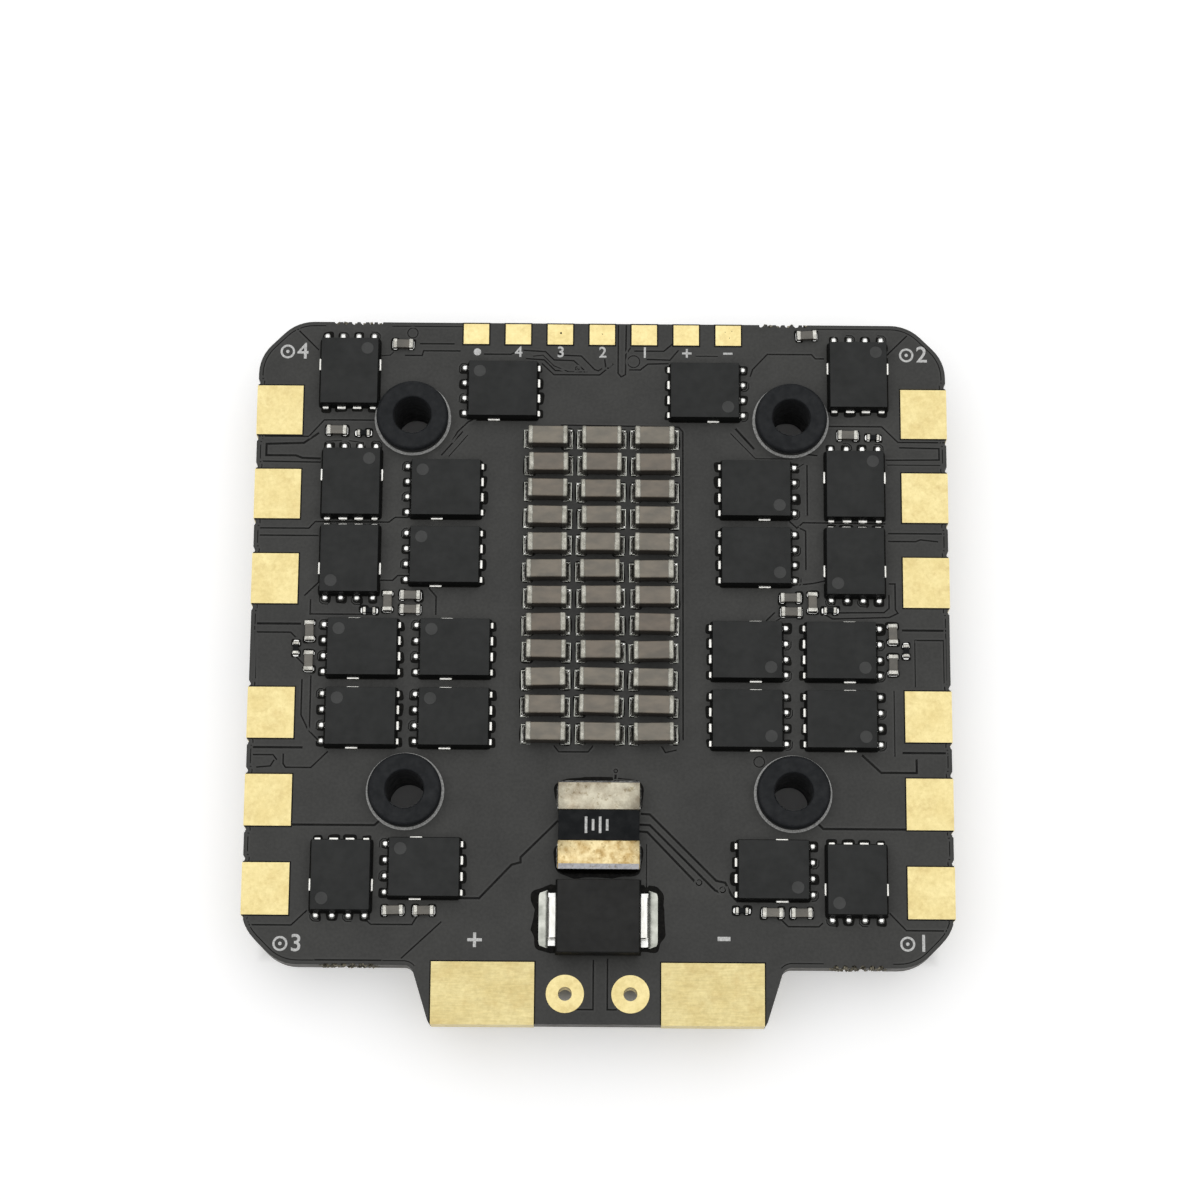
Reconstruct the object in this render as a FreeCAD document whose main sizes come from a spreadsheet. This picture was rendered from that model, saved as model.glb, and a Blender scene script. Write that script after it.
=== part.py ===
"""Four-in-one brushless motor speed controller: one power board that drives four motors.

Millimetres. The origin is the centre of the mounting pattern, on the plane that the feet of
the four rubber grommets stand on. +Z is the power side, +Y is the signal edge, and the tab
with the battery pads is at -Y. Motor 1 is at the -Y +X corner, motor 2 at +Y +X, motor 3 at
-Y -X and motor 4 at +Y -X.
"""
import FreeCAD, Part
import os
import re
import Sketcher
from FreeCAD import Vector

doc = FreeCAD.newDocument("speed_controller")
sheet = doc.addObject("Spreadsheet::Sheet", "Sizes")
nodes = []

SIZES = {
    # circuit board
    "under_clearance": 4.0,  # mounting plane to the board's underside
    "board_thickness": 2.0,
    "board_half_width": 27.8,
    "signal_edge": 23.4,  # origin to the +Y edge
    "battery_edge": 28.9,  # origin to the -Y edge
    "tab_edge": 33.4,  # origin to the end of the battery tab
    "tab_root_half_width": 14.5,
    "tab_tip_half_width": 13.1,
    "corner_cut": 3.0,
    "corner_round": 3.4,
    "tab_root_round": 0.8,
    "tab_tip_round": 0.4,
    "breakaway_radius": 0.22,
    "breakaway_pitch": 0.7,
    "edge_notch_radius": 0.3,
    "edge_notch_depth": 0.15,
    # mounting pattern and grommets
    "mount_half_spacing": 15.25,
    "grommet_bore_radius": 1.5,
    "grommet_neck_radius": 2.1,
    "grommet_flange_radius": 2.9,
    "grommet_flange_height": 1.2,
    "grommet_rim_round": 0.35,
    # gold plated pads
    "plating": 0.06,
    "motor_pad_inner": 24.15,  # origin to the pad's inner end, along X
    "motor_pad_length": 4.1,
    "motor_pad_pitch": 7.0,
    "front_pads_middle": 8.9,  # middle pad of motors 4 and 2, towards +Y
    "back_pads_middle": 16.0,  # middle pad of motors 3 and 1, towards -Y
    "battery_pad_inner": 4.93,
    "battery_pad_outer": 12.95,
    "battery_pad_start": 28.6,
    "signal_pad_width": 2.05,
    "signal_pad_length": 1.7,
    "signal_pad_pitch": 3.41,
    "signal_pad_middle": 22.45,
    "lead_hole_half_pitch": 2.54,
    "lead_hole_y": 31.05,
    "lead_hole_radius": 0.54,
    "lead_ring_radius": 1.48,
    # power transistors
    "package_width": 4.8,
    "package_length": 5.7,
    "package_height": 1.05,
    "package_taper": 7.0,
    "dimple_radius": 0.42,
    "dimple_depth": 0.04,
    "dimple_inset_x": 0.95,
    "dimple_inset_y": 0.95,
    "lead_pitch": 1.27,
    "lead_width": 0.42,
    "lead_reach": 0.45,
    "lead_thickness": 0.25,
    "drain_tab_width": 0.65,
    "drain_tab_outer_width": 0.4,
    "drain_tab_reach": 0.15,
    "tie_tab_width": 0.95,
    "tie_tab_reach": 0.1,
    "tie_tab_offset": 0.7,
    # input capacitors
    "bank_column_pitch": 4.27,
    "bank_row_pitch": 2.2,
    "bank_middle_y": 1.5,
    "big_chip_length": 3.2,
    "big_chip_width": 1.6,
    "big_chip_end": 0.5,
    # current shunt
    "shunt_y": 18.0,
    "shunt_length": 6.9,
    "shunt_width": 6.4,
    "shunt_height": 1.3,
    "shunt_middle": 2.4,
    "shunt_air_gap": 0.35,
    # surge clamp diode
    "diode_y": 25.25,
    "diode_length": 6.86,
    "diode_width": 5.84,
    "diode_height": 2.3,
    "diode_standoff": 0.2,
    "diode_taper": 6.0,
    "diode_lead_width": 3.1,
    "diode_lead_reach": 0.5,
    "diode_lead_thickness": 0.22,
    "diode_foot": 1.3,
    # small chip capacitors and resistors
    "chip_length": 1.6,
    "chip_width": 0.8,
    "chip_height": 0.5,
    "chip_end": 0.3,
    "resistor_length": 1.0,
    "resistor_width": 0.5,
    "resistor_height": 0.35,
    "resistor_end": 0.22,
    # rows of small chips round each gate driver and controller, on the underside
    "driver_capacitor_gap": 1.2,
    "driver_capacitor_pitch": 1.5,
    "driver_resistor_gap": 0.9,
    "driver_resistor_pitch": 1.3,
    "controller_chip_gap": 1.0,
    "controller_resistor_pitch": 1.6,
    # chips on the underside
    "controller_size": 5.0,
    "controller_height": 0.75,
    "controller_x": 9.6,
    "controller_y": 7.8,
    "driver_size": 4.0,
    "driver_height": 0.8,
    "driver_x": 19.8,
    "driver_front_y": 8.0,
    "driver_back_y": 9.0,
    "amplifier_length": 1.6,
    "amplifier_width": 2.9,
    "amplifier_height": 1.0,
    "amplifier_x": 4.6,
    "regulator_size": 3.0,
    "regulator_height": 0.9,
    "regulator_x": -3.2,
    "coil_size": 4.0,
    "coil_height": 1.8,
    "coil_x": -7.9,
    # signal socket on the underside
    "socket_width": 10.0,
    "socket_depth": 4.25,
    "socket_height": 2.95,
    "socket_cavity_width": 8.6,
    "socket_cavity_height": 1.9,
    "socket_cavity_depth": 3.2,
    "socket_wall": 0.45,
    "contact_width": 0.3,
    "contact_thickness": 0.2,
    "contact_pitch": 1.0,
    "contact_reach": 2.4,
    "contact_foot": 0.6,
}

BOARD_TOP = "under_clearance + board_thickness"

# Each half bridge is two transistors: x, y and turn of each. Turn 0 points the gate side
# towards +Y, and 90 towards -X.
TRANSISTORS = {
    1: (
        (11.65, -3.85, -90),
        (19.1, -3.85, -90),
        (11.65, -9.4, -90),
        (19.1, -9.4, -90),
        (13.65, -21.35, -90),
        (20.15, -22.1, 180),
    ),
    2: (
        (8.3, 17.55, -90),
        (20.7, 18.95, 0),
        (12.4, 9.4, -90),
        (20.35, 9.8, 0),
        (12.4, 3.85, -90),
        (20.3, 3.45, 180),
    ),
    3: (
        (-11.5, -3.8, 90),
        (-18.85, -3.8, 90),
        (-11.5, -9.4, 90),
        (-18.85, -9.4, 90),
        (-13.6, -21.35, 90),
        (-20.1, -22.0, 180),
    ),
    4: (
        (-8.0, 17.6, 90),
        (-20.4, 19.0, 0),
        (-12.45, 9.3, 90),
        (-20.05, 9.75, 0),
        (-12.45, 3.75, 90),
        (-20.05, 3.4, 180),
    ),
}

# Small chips on the power side: x, y and the axis each lies along.
POWER_SIDE_CAPACITORS = (
    (-16.15, 21.5, "x"),
    (-21.35, 14.2, "x"),
    (-16.95, 0.05, "y"),
    (-15.15, 0.55, "x"),
    (-15.15, -0.6, "x"),
    (-23.1, -2.4, "y"),
    (-23.1, -4.85, "y"),
    (-16.0, -24.65, "x"),
    (-13.6, -24.65, "x"),
    (16.6, 22.45, "x"),
    (19.85, 14.05, "x"),
    (16.9, 0.2, "y"),
    (15.15, 0.55, "x"),
    (15.2, -0.6, "x"),
    (23.25, -2.35, "y"),
    (23.25, -4.85, "y"),
    (13.6, -24.65, "x"),
    (15.85, -24.65, "x"),
)
POWER_SIDE_RESISTORS = (
    (-19.2, 14.0, "x"),
    (-18.4, -0.7, "x"),
    (-24.15, -3.8, "y"),
    (21.9, 13.9, "x"),
    (18.3, -0.45, "x"),
    (24.3, -3.7, "y"),
    (11.2, -24.5, "x"),
)
# Middles of the four rows of breakaway notches: x, and the edge's sign along Y.
BREAKAWAYS = ((-19.8, 1), (14.7, 1), (-19.4, -1), (20.25, -1))
BREAKAWAY_NOTCHES = 6
BANK_COLUMNS = {"left": -1, "middle": 0, "right": 1}
BANK_ROWS = 12
SIGNAL_PADS = 7
TRANSISTOR_LEADS = 4
SOCKET_CONTACTS = 8


def fill_sheet():
    """Write every driving size and place into the sheet, one alias a row."""
    for motor, places in TRANSISTORS.items():
        for index, (x, y, turn) in enumerate(places, 1):
            SIZES[f"motor_{motor}_transistor_{index}_x"] = x
            SIZES[f"motor_{motor}_transistor_{index}_y"] = y
            SIZES[f"motor_{motor}_transistor_{index}_turn"] = turn
    for row, (alias, size) in enumerate(SIZES.items(), 1):
        sheet.set(f"A{row}", alias)
        sheet.set(f"B{row}", str(size))
        sheet.setAlias(f"B{row}", alias)
    doc.recompute()


def cells(formula):
    """Put the sheet's name in front of each alias of a formula."""
    return re.sub(r"[a-z]\w*", r"Sizes.\g<0>", str(formula))


def number(formula):
    return float(sheet.evalExpression(cells(formula)))


def bind(made, name, formula):
    made.setExpression(name, cells(formula))


def place(made, x, y, z, turn="0"):
    """Bind a placement: a position, and a turn about Z in degrees."""
    bind(made, "Placement.Base.x", x)
    bind(made, "Placement.Base.y", y)
    bind(made, "Placement.Base.z", z)
    bind(made, "Placement.Rotation.Angle", turn)


def node(made, name):
    """Mark an object as a sub-part, named by its label."""
    made.Label = name
    nodes.append(made)
    return made


def box(name, middle, size):
    """A box from the middle of its lower face and its three sizes."""
    made = doc.addObject("Part::Box", name)
    for side, formula in zip(("Length", "Width", "Height"), size):
        bind(made, side, formula)
    x, y, z = middle
    place(made, f"{x} - ({size[0]}) / 2", f"{y} - ({size[1]}) / 2", z)
    return made


def group(name, members):
    """Separate solids that share one object."""
    made = doc.addObject("Part::Compound", name)
    made.Links = members
    return made


def cut(name, base, tool):
    made = doc.addObject("Part::Cut", name)
    made.Base = base
    made.Tool = tool
    return made


def sketch_on(body, name, plane="XY_Plane", offset="0"):
    """A sketch on one of the body's origin planes, moved along the plane's normal."""
    sketch = body.newObject("Sketcher::SketchObject", name)
    support = next(f for f in body.Origin.OriginFeatures if f.Role == plane)
    sketch.AttachmentSupport = (support, [""])
    sketch.MapMode = "FlatFace"
    bind(sketch, "AttachmentOffset.Base.z", offset)
    return sketch


def fix_point(sketch, geometry, point, x, y):
    """Tie a point of a sketch to the sketch's origin by two bound distances."""
    for kind, formula in (("DistanceX", x), ("DistanceY", y)):
        rule = Sketcher.Constraint(kind, -1, 1, geometry, point, number(formula))
        index = sketch.addConstraint(rule)
        sketch.renameConstraint(index, f"{kind}_{geometry}")
        bind(sketch, f"Constraints.{kind}_{geometry}", formula)


def polygon(sketch, corners):
    """Closed straight-sided outline through corners given as pairs of formulas."""
    points = [Vector(number(x), number(y), 0) for x, y in corners]
    first = len(sketch.Geometry)
    count = len(points)
    for index, point in enumerate(points):
        sketch.addGeometry(Part.LineSegment(point, points[(index + 1) % count]))
    for index, (x, y) in enumerate(corners):
        here = first + index
        after = first + (index + 1) % count
        sketch.addConstraint(Sketcher.Constraint("Coincident", here, 2, after, 1))
        fix_point(sketch, here, 1, x, y)


def rectangle(sketch, x, y, width, height):
    """Rectangle about a middle point."""
    left, right = (f"{x} {sign} ({width}) / 2" for sign in "-+")
    low, high = (f"{y} {sign} ({height}) / 2" for sign in "-+")
    polygon(sketch, ((left, low), (right, low), (right, high), (left, high)))


def circle(sketch, x, y, radius):
    middle = Vector(number(x), number(y), 0)
    ring = Part.Circle(middle, Vector(0, 0, 1), number(radius))
    geometry = sketch.addGeometry(ring)
    fix_point(sketch, geometry, 3, x, y)
    index = sketch.addConstraint(Sketcher.Constraint("Radius", geometry, number(radius)))
    sketch.renameConstraint(index, f"Radius_{geometry}")
    bind(sketch, f"Constraints.Radius_{geometry}", radius)


def pad(body, sketch, length, taper=None, symmetric=False):
    made = body.newObject("PartDesign::Pad", f"{sketch.Name}_pad")
    made.Profile = sketch
    bind(made, "Length", length)
    if taper:
        bind(made, "TaperAngle", f"-({taper})")
    if symmetric:
        made.SideType = "Symmetric"
    return made


def pocket(body, sketch, depth=None, reverse=False):
    """Cut a sketch into a body: to a depth or, with none, through everything."""
    made = body.newObject("PartDesign::Pocket", f"{sketch.Name}_pocket")
    made.Profile = sketch
    made.Reversed = reverse
    if depth:
        bind(made, "Length", depth)
    else:
        made.Type = "ThroughAll"
    return made


def fillet(body, base, radius, wanted):
    """Round the edges of a feature that a test picks."""
    doc.recompute()
    names = [f"Edge{i}" for i, edge in enumerate(base.Shape.Edges, 1) if wanted(edge)]
    made = body.newObject("PartDesign::Fillet", f"{base.Name}_fillet_{len(body.Group)}")
    made.Base = (base, names)
    bind(made, "Radius", radius)
    return made


def upright_at(xs, ys):
    """Test that an edge is vertical and near one of the given |x| and one of the given y."""

    def wanted(edge):
        reach = edge.BoundBox
        upright = reach.XLength < 0.01 and reach.YLength < 0.01
        near_x = any(abs(abs(reach.XMin) - x) < 0.05 for x in xs)
        near_y = any(abs(reach.YMin - y) < 0.05 for y in ys)
        return upright and near_x and near_y

    return wanted


def board_outline():
    """Corners of the board, clockwise from the signal edge on the +X side."""
    right = (
        ("board_half_width - corner_cut", "signal_edge"),
        ("board_half_width", "signal_edge - corner_cut"),
        ("board_half_width", "-battery_edge + corner_cut"),
        ("board_half_width - corner_cut", "-battery_edge"),
        ("tab_root_half_width", "-battery_edge"),
        ("tab_tip_half_width", "-tab_edge"),
    )
    left = [(f"-({x})", y) for x, y in reversed(right)]
    return list(right) + left


def motor_pad_middles():
    """Middle of each motor pad along Y, by motor."""
    front = [f"front_pads_middle + {step} * motor_pad_pitch" for step in (1, 0, -1)]
    back = [f"-back_pads_middle + {step} * motor_pad_pitch" for step in (1, 0, -1)]
    return {1: back, 2: front, 3: back, 4: front}


def motor_side(motor):
    """Sign along X of the side that a motor's pads are on."""
    return 1 if motor in (1, 2) else -1


def circuit_board():
    body = node(doc.addObject("PartDesign::Body", "circuit_board"), "circuit_board")
    outline = sketch_on(body, "board_outline", offset="under_clearance")
    polygon(outline, board_outline())
    slab = pad(body, outline, "board_thickness")
    corner_x = [number("board_half_width"), number("board_half_width - corner_cut")]
    front = [number("signal_edge"), number("signal_edge - corner_cut")]
    back = [number("-battery_edge"), number("-battery_edge + corner_cut")]
    rounded = fillet(body, slab, "corner_round", upright_at(corner_x, front + back))
    root_x = [number("tab_root_half_width")]
    rounded = fillet(body, rounded, "tab_root_round", upright_at(root_x, back))
    tip_x = [number("tab_tip_half_width")]
    rounded = fillet(body, rounded, "tab_tip_round", upright_at(tip_x, [number("-tab_edge")]))
    holes = sketch_on(body, "board_holes", offset=BOARD_TOP)
    for x in ("mount_half_spacing", "-mount_half_spacing"):
        for y in ("mount_half_spacing", "-mount_half_spacing"):
            circle(holes, x, y, "grommet_neck_radius")
    for sign in ("", "-"):
        circle(holes, f"{sign}lead_hole_half_pitch", "-lead_hole_y", "lead_hole_radius + plating")
    pocket(body, holes)
    notches = sketch_on(body, "board_notches", offset=BOARD_TOP)
    for middle, sign in BREAKAWAYS:
        edge = "signal_edge" if sign > 0 else "-battery_edge"
        for index in range(BREAKAWAY_NOTCHES):
            step = index - (BREAKAWAY_NOTCHES - 1) / 2
            circle(notches, f"{middle} + {step} * breakaway_pitch", edge, "breakaway_radius")
    for motor, middles in motor_pad_middles().items():
        side = motor_side(motor)
        x = f"{side} * (board_half_width + edge_notch_radius - edge_notch_depth)"
        for middle in middles:
            for end in (1, -1):
                y = f"{middle} + {end} * (motor_pad_length / 2 + edge_notch_radius)"
                circle(notches, x, y, "edge_notch_radius")
    pocket(body, notches)


def grommet(name, x, y):
    """Rubber bush: a neck in the board's hole between a flange and a longer foot."""
    body = node(doc.addObject("PartDesign::Body", name), name)
    profile = sketch_on(body, f"{name}_profile", "XZ_Plane")
    bore, neck, flange = (
        "grommet_bore_radius",
        "grommet_neck_radius",
        "grommet_flange_radius",
    )
    top = f"{BOARD_TOP} + grommet_flange_height"
    corners = (
        (bore, "0"),
        (flange, "0"),
        (flange, "under_clearance"),
        (neck, "under_clearance"),
        (neck, BOARD_TOP),
        (flange, BOARD_TOP),
        (flange, top),
        (bore, top),
    )
    polygon(profile, corners)
    turned = body.newObject("PartDesign::Revolution", f"{name}_turned")
    turned.Profile = profile
    turned.ReferenceAxis = (profile, ["V_Axis"])
    turned.Angle = 360

    def outer_rim(edge):
        reach = edge.BoundBox
        wide = abs(reach.XLength - 2 * number(flange)) < 0.01
        ends = (0, number(top))
        return wide and reach.ZLength < 0.01 and min(abs(reach.ZMin - z) for z in ends) < 0.01

    fillet(body, turned, "grommet_rim_round", outer_rim)
    place(body, x, y, "0")


def transistor(name):
    """Moulded package with drafted sides and a round dimple at the first lead's corner."""
    body = node(doc.addObject("PartDesign::Body", name), name)
    foot = sketch_on(body, f"{name}_foot")
    rectangle(foot, "0", "0", "package_width", "package_length")
    pad(body, foot, "package_height", taper="package_taper")
    mark = sketch_on(body, f"{name}_mark", offset="package_height")
    x = "package_width / 2 - dimple_inset_x"
    circle(mark, x, "package_length / 2 - dimple_inset_y", "dimple_radius")
    pocket(body, mark, "dimple_depth")
    place(body, f"{name}_x", f"{name}_y", BOARD_TOP, f"{name}_turn")


def transistor_leads(name):
    """Four gate side leads, four drain tabs and a tie tab on each long side."""
    made = []
    for index in range(TRANSISTOR_LEADS):
        x = f"{index - (TRANSISTOR_LEADS - 1) / 2} * lead_pitch"
        y = "(package_length + lead_reach) / 2"
        size = ("lead_width", "lead_reach", "lead_thickness")
        made.append(box(f"{name}_lead_{index + 1}", (x, y, "0"), size))
        width = "drain_tab_width" if index in (1, 2) else "drain_tab_outer_width"
        y = "-(package_length + drain_tab_reach) / 2"
        size = (width, "drain_tab_reach", "lead_thickness")
        made.append(box(f"{name}_drain_{index + 1}", (x, y, "0"), size))
    for side in (-1, 1):
        x = f"{side} * (package_width + tie_tab_reach) / 2"
        size = ("tie_tab_reach", "tie_tab_width", "lead_thickness")
        made.append(box(f"{name}_tie", (x, "tie_tab_offset", "0"), size))
    leads = group(f"{name}_leads", made)
    place(leads, f"{name}_x", f"{name}_y", BOARD_TOP, f"{name}_turn")
    return leads


def chip(name, x, y, along, size, end, floor):
    """Chip between two metal ends, which are a hair larger: the chip, then its ends."""
    length, width, height = size
    made = []
    for kind, extent, offset, skin in (
        ("middle", f"{length} - 2 * {end}", "0", "plating"),
        ("end_a", end, f"({end} - {length}) / 2", "0"),
        ("end_b", end, f"({length} - {end}) / 2", "0"),
    ):
        thick = f"{width} - {skin}"
        if along == "x":
            middle, sides = (f"{x} + {offset}", f"{y}"), (extent, thick)
        else:
            middle, sides = (f"{x}", f"{y} + {offset}"), (thick, extent)
        made.append(box(f"{name}_{kind}", (*middle, floor), (*sides, f"{height} - {skin}")))
    return made[0], made[1:]


def capacitor_bank():
    """Input capacitors in columns: each column's ceramic is a node, all their ends are one."""
    size = ("big_chip_length", "big_chip_width", "big_chip_width")
    all_ends = []
    for side, step in BANK_COLUMNS.items():
        column = []
        for row in range(BANK_ROWS):
            y = f"bank_middle_y + {(BANK_ROWS - 1) / 2 - row} * bank_row_pitch"
            x = f"{step} * bank_column_pitch"
            name = f"bank_{side}_{row + 1}"
            middle, ends = chip(name, x, y, "x", size, "big_chip_end", BOARD_TOP)
            column.append(middle)
            all_ends += ends
        node(group(f"bank_{side}", column), f"{side}_column_capacitors")
    node(group("bank_ends", all_ends), "column_capacitor_ends")


def small_chips():
    """The small capacitors and resistors of both sides, and their metal ends."""
    capacitor = ("chip_length", "chip_width", "chip_height")
    resistor = ("resistor_length", "resistor_width", "resistor_height")
    capacitors = [(*spot, BOARD_TOP) for spot in POWER_SIDE_CAPACITORS]
    resistors = [(*spot, BOARD_TOP) for spot in POWER_SIDE_RESISTORS]
    capacitor_floor = "under_clearance - chip_height"
    resistor_floor = "under_clearance - resistor_height"
    for side_x in (-1, 1):
        for side_y, driver_y in ((1, "driver_front_y"), (-1, "driver_back_y")):
            for step in (-1, 0, 1):
                x = f"{side_x} * (driver_x - driver_size / 2 - driver_capacitor_gap)"
                y = f"{side_y} * ({driver_y} + {step} * driver_capacitor_pitch)"
                capacitors.append((x, y, "x", capacitor_floor))
                x = f"{side_x} * (driver_x + {step} * driver_resistor_pitch)"
                y = f"{side_y} * ({driver_y} - driver_size / 2 - driver_resistor_gap)"
                resistors.append((x, y, "y", resistor_floor))
                x = f"{side_x} * (controller_x + {step} * controller_resistor_pitch)"
                y = f"{side_y} * (controller_y - controller_size / 2 - controller_chip_gap)"
                resistors.append((x, y, "y", resistor_floor))
            x = f"{side_x} * (controller_x - controller_size / 2 - controller_chip_gap)"
            capacitors.append((x, f"{side_y} * controller_y", "y", capacitor_floor))
    all_ends = []
    for label, spots, size, end in (
        ("chip_capacitors", capacitors, capacitor, "chip_end"),
        ("chip_resistors", resistors, resistor, "resistor_end"),
    ):
        middles = []
        for index, (x, y, along, floor) in enumerate(spots, 1):
            middle, ends = chip(f"{label}_{index}", x, y, along, size, end, floor)
            middles.append(middle)
            all_ends += ends
        node(group(label, middles), label)
    node(group("chip_ends", all_ends), "chip_ends")


def wrapped_pad(name, middle, size, slot_middle, slot_size):
    """Gold plating on both faces of the board, joined round its edge."""
    return cut(name, box(f"{name}_skin", middle, size), box(f"{name}_slot", slot_middle, slot_size))


def motor_pads(motor):
    """Three phase pads that wrap round the board's side edge."""
    side = motor_side(motor)
    reach = "(board_half_width + plating - motor_pad_inner)"
    middle_x = f"{side} * (motor_pad_inner + {reach} / 2)"
    slot_x = f"{side} * (board_half_width - {reach} / 2)"
    made = []
    for index, y in enumerate(motor_pad_middles()[motor], 1):
        skin = (reach, "motor_pad_length", "board_thickness + 2 * plating")
        slot = (reach, "2 * motor_pad_length", "board_thickness")
        name = f"motor_{motor}_pad_{index}"
        low = (middle_x, y, "under_clearance - plating")
        made.append(wrapped_pad(name, low, skin, (slot_x, y, "under_clearance"), slot))
    node(group(f"motor_{motor}_pads", made), f"motor_{motor}_pads")


def battery_pad(name, side):
    """Broad pad that wraps round the end of the battery tab."""
    width = "(battery_pad_outer - battery_pad_inner)"
    reach = "(tab_edge + plating - battery_pad_start)"
    x = f"{side} * (battery_pad_inner + {width} / 2)"
    skin = (width, reach, "board_thickness + 2 * plating")
    slot = (f"2 * {width}", reach, "board_thickness")
    low = (x, f"-(battery_pad_start + {reach} / 2)", "under_clearance - plating")
    slot_low = (x, f"-(tab_edge - {reach} / 2)", "under_clearance")
    node(wrapped_pad(name, low, skin, slot_low, slot), name)


def signal_pads():
    made = []
    size = ("signal_pad_width", "signal_pad_length", "plating")
    for index in range(SIGNAL_PADS):
        x = f"{index - (SIGNAL_PADS - 1) / 2} * signal_pad_pitch"
        made.append(box(f"signal_pad_{index + 1}", (x, "signal_pad_middle", BOARD_TOP), size))
    node(group("signal_pads", made), "signal_pads")


def capacitor_lead_rings():
    """Two plated eyelets for the leads of a capacitor across the battery pads."""
    made = []
    for index, side in enumerate((-1, 1), 1):
        body = doc.addObject("PartDesign::Body", f"lead_ring_{index}")
        profile = sketch_on(body, f"lead_ring_{index}_profile", "XZ_Plane")
        barrel = "lead_hole_radius + plating"
        low, high = "under_clearance", BOARD_TOP
        corners = (
            ("lead_hole_radius", f"{low} - plating"),
            ("lead_ring_radius", f"{low} - plating"),
            ("lead_ring_radius", low),
            (barrel, low),
            (barrel, high),
            ("lead_ring_radius", high),
            ("lead_ring_radius", f"{high} + plating"),
            ("lead_hole_radius", f"{high} + plating"),
        )
        polygon(profile, corners)
        turned = body.newObject("PartDesign::Revolution", f"lead_ring_{index}_turned")
        turned.Profile = profile
        turned.ReferenceAxis = (profile, ["V_Axis"])
        turned.Angle = 360
        place(body, f"{side} * lead_hole_half_pitch", "-lead_hole_y", "0")
        made.append(body)
    node(group("lead_rings", made), "capacitor_lead_rings")


def current_shunt():
    """A coated resistive strip that bridges two solid terminals."""
    terminal = "(shunt_length - shunt_middle) / 2"
    made = []
    for index, side in enumerate((-1, 1), 1):
        y = f"-shunt_y + {side} * (shunt_length - {terminal}) / 2"
        size = ("shunt_width", terminal, "shunt_height")
        made.append(box(f"shunt_terminal_{index}", ("0", y, BOARD_TOP), size))
    node(group("shunt_terminals", made), "shunt_terminals")
    size = ("shunt_width - plating", "shunt_middle", "shunt_height - shunt_air_gap - plating")
    middle = ("0", "-shunt_y", f"{BOARD_TOP} + shunt_air_gap")
    node(box("shunt_strip", middle, size), "shunt_strip")


def surge_diode():
    """Moulded block drafted up and down from the line its leads come out at."""
    body = node(doc.addObject("PartDesign::Body", "surge_diode"), "surge_diode")
    half = "(diode_height - diode_standoff) / 2"
    outline = sketch_on(body, "diode_outline", offset=f"diode_standoff + {half}")
    rectangle(outline, "0", "0", "diode_length", "diode_width")
    pad(body, outline, half, taper="diode_taper")
    under = sketch_on(body, "diode_under", offset=f"diode_standoff + {half}")
    rectangle(under, "0", "0", "diode_length", "diode_width")
    lower = pad(body, under, half, taper="diode_taper")
    lower.Reversed = True
    place(body, "0", "-diode_y", BOARD_TOP)


def surge_diode_leads():
    """Two C shaped leads, out of the sides, down and back under the body."""
    body = node(doc.addObject("PartDesign::Body", "diode_leads"), "surge_diode_leads")
    line = "diode_standoff + (diode_height - diode_standoff) / 2"
    side = "diode_length / 2"
    out = f"{side} + diode_lead_reach"
    inner = f"{out} - diode_lead_thickness"
    right = (
        (side, line),
        (out, line),
        (out, "0"),
        (f"{side} - diode_foot", "0"),
        (f"{side} - diode_foot", "diode_standoff"),
        (inner, "diode_standoff"),
        (inner, f"{line} - diode_lead_thickness"),
        (side, f"{line} - diode_lead_thickness"),
    )
    profile = sketch_on(body, "diode_lead_profile", "XZ_Plane")
    polygon(profile, right)
    polygon(profile, [(f"-({x})", z) for x, z in reversed(right)])
    pad(body, profile, "diode_lead_width", symmetric=True)
    place(body, "0", "-diode_y", BOARD_TOP)


def underside_chips():
    """Controllers and gate drivers, one of each for a motor, hung under the board."""
    controllers = []
    drivers = []
    for side_x in (-1, 1):
        for side_y, driver_y in ((1, "driver_front_y"), (-1, "driver_back_y")):
            count = len(controllers) + 1
            middle = (
                f"{side_x} * controller_x",
                f"{side_y} * controller_y",
                "under_clearance - controller_height",
            )
            size = ("controller_size", "controller_size", "controller_height")
            controllers.append(box(f"controller_{count}", middle, size))
            middle = (
                f"{side_x} * driver_x",
                f"{side_y} * {driver_y}",
                "under_clearance - driver_height",
            )
            size = ("driver_size", "driver_size", "driver_height")
            drivers.append(box(f"driver_{count}", middle, size))
    node(group("controllers", controllers), "motor_controllers")
    node(group("drivers", drivers), "gate_drivers")


def underside_supply():
    """Current sense amplifier under the shunt, and a step-down supply with its coil."""
    size = ("amplifier_length", "amplifier_width", "amplifier_height")
    middle = ("amplifier_x", "-shunt_y", "under_clearance - amplifier_height")
    node(box("amplifier", middle, size), "current_amplifier")
    size = ("regulator_size", "regulator_size", "regulator_height")
    middle = ("regulator_x", "-shunt_y", "under_clearance - regulator_height")
    node(box("regulator", middle, size), "voltage_regulator")
    size = ("coil_size", "coil_size", "coil_height")
    middle = ("coil_x", "-shunt_y", "under_clearance - coil_height")
    node(box("coil", middle, size), "regulator_coil")


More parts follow.
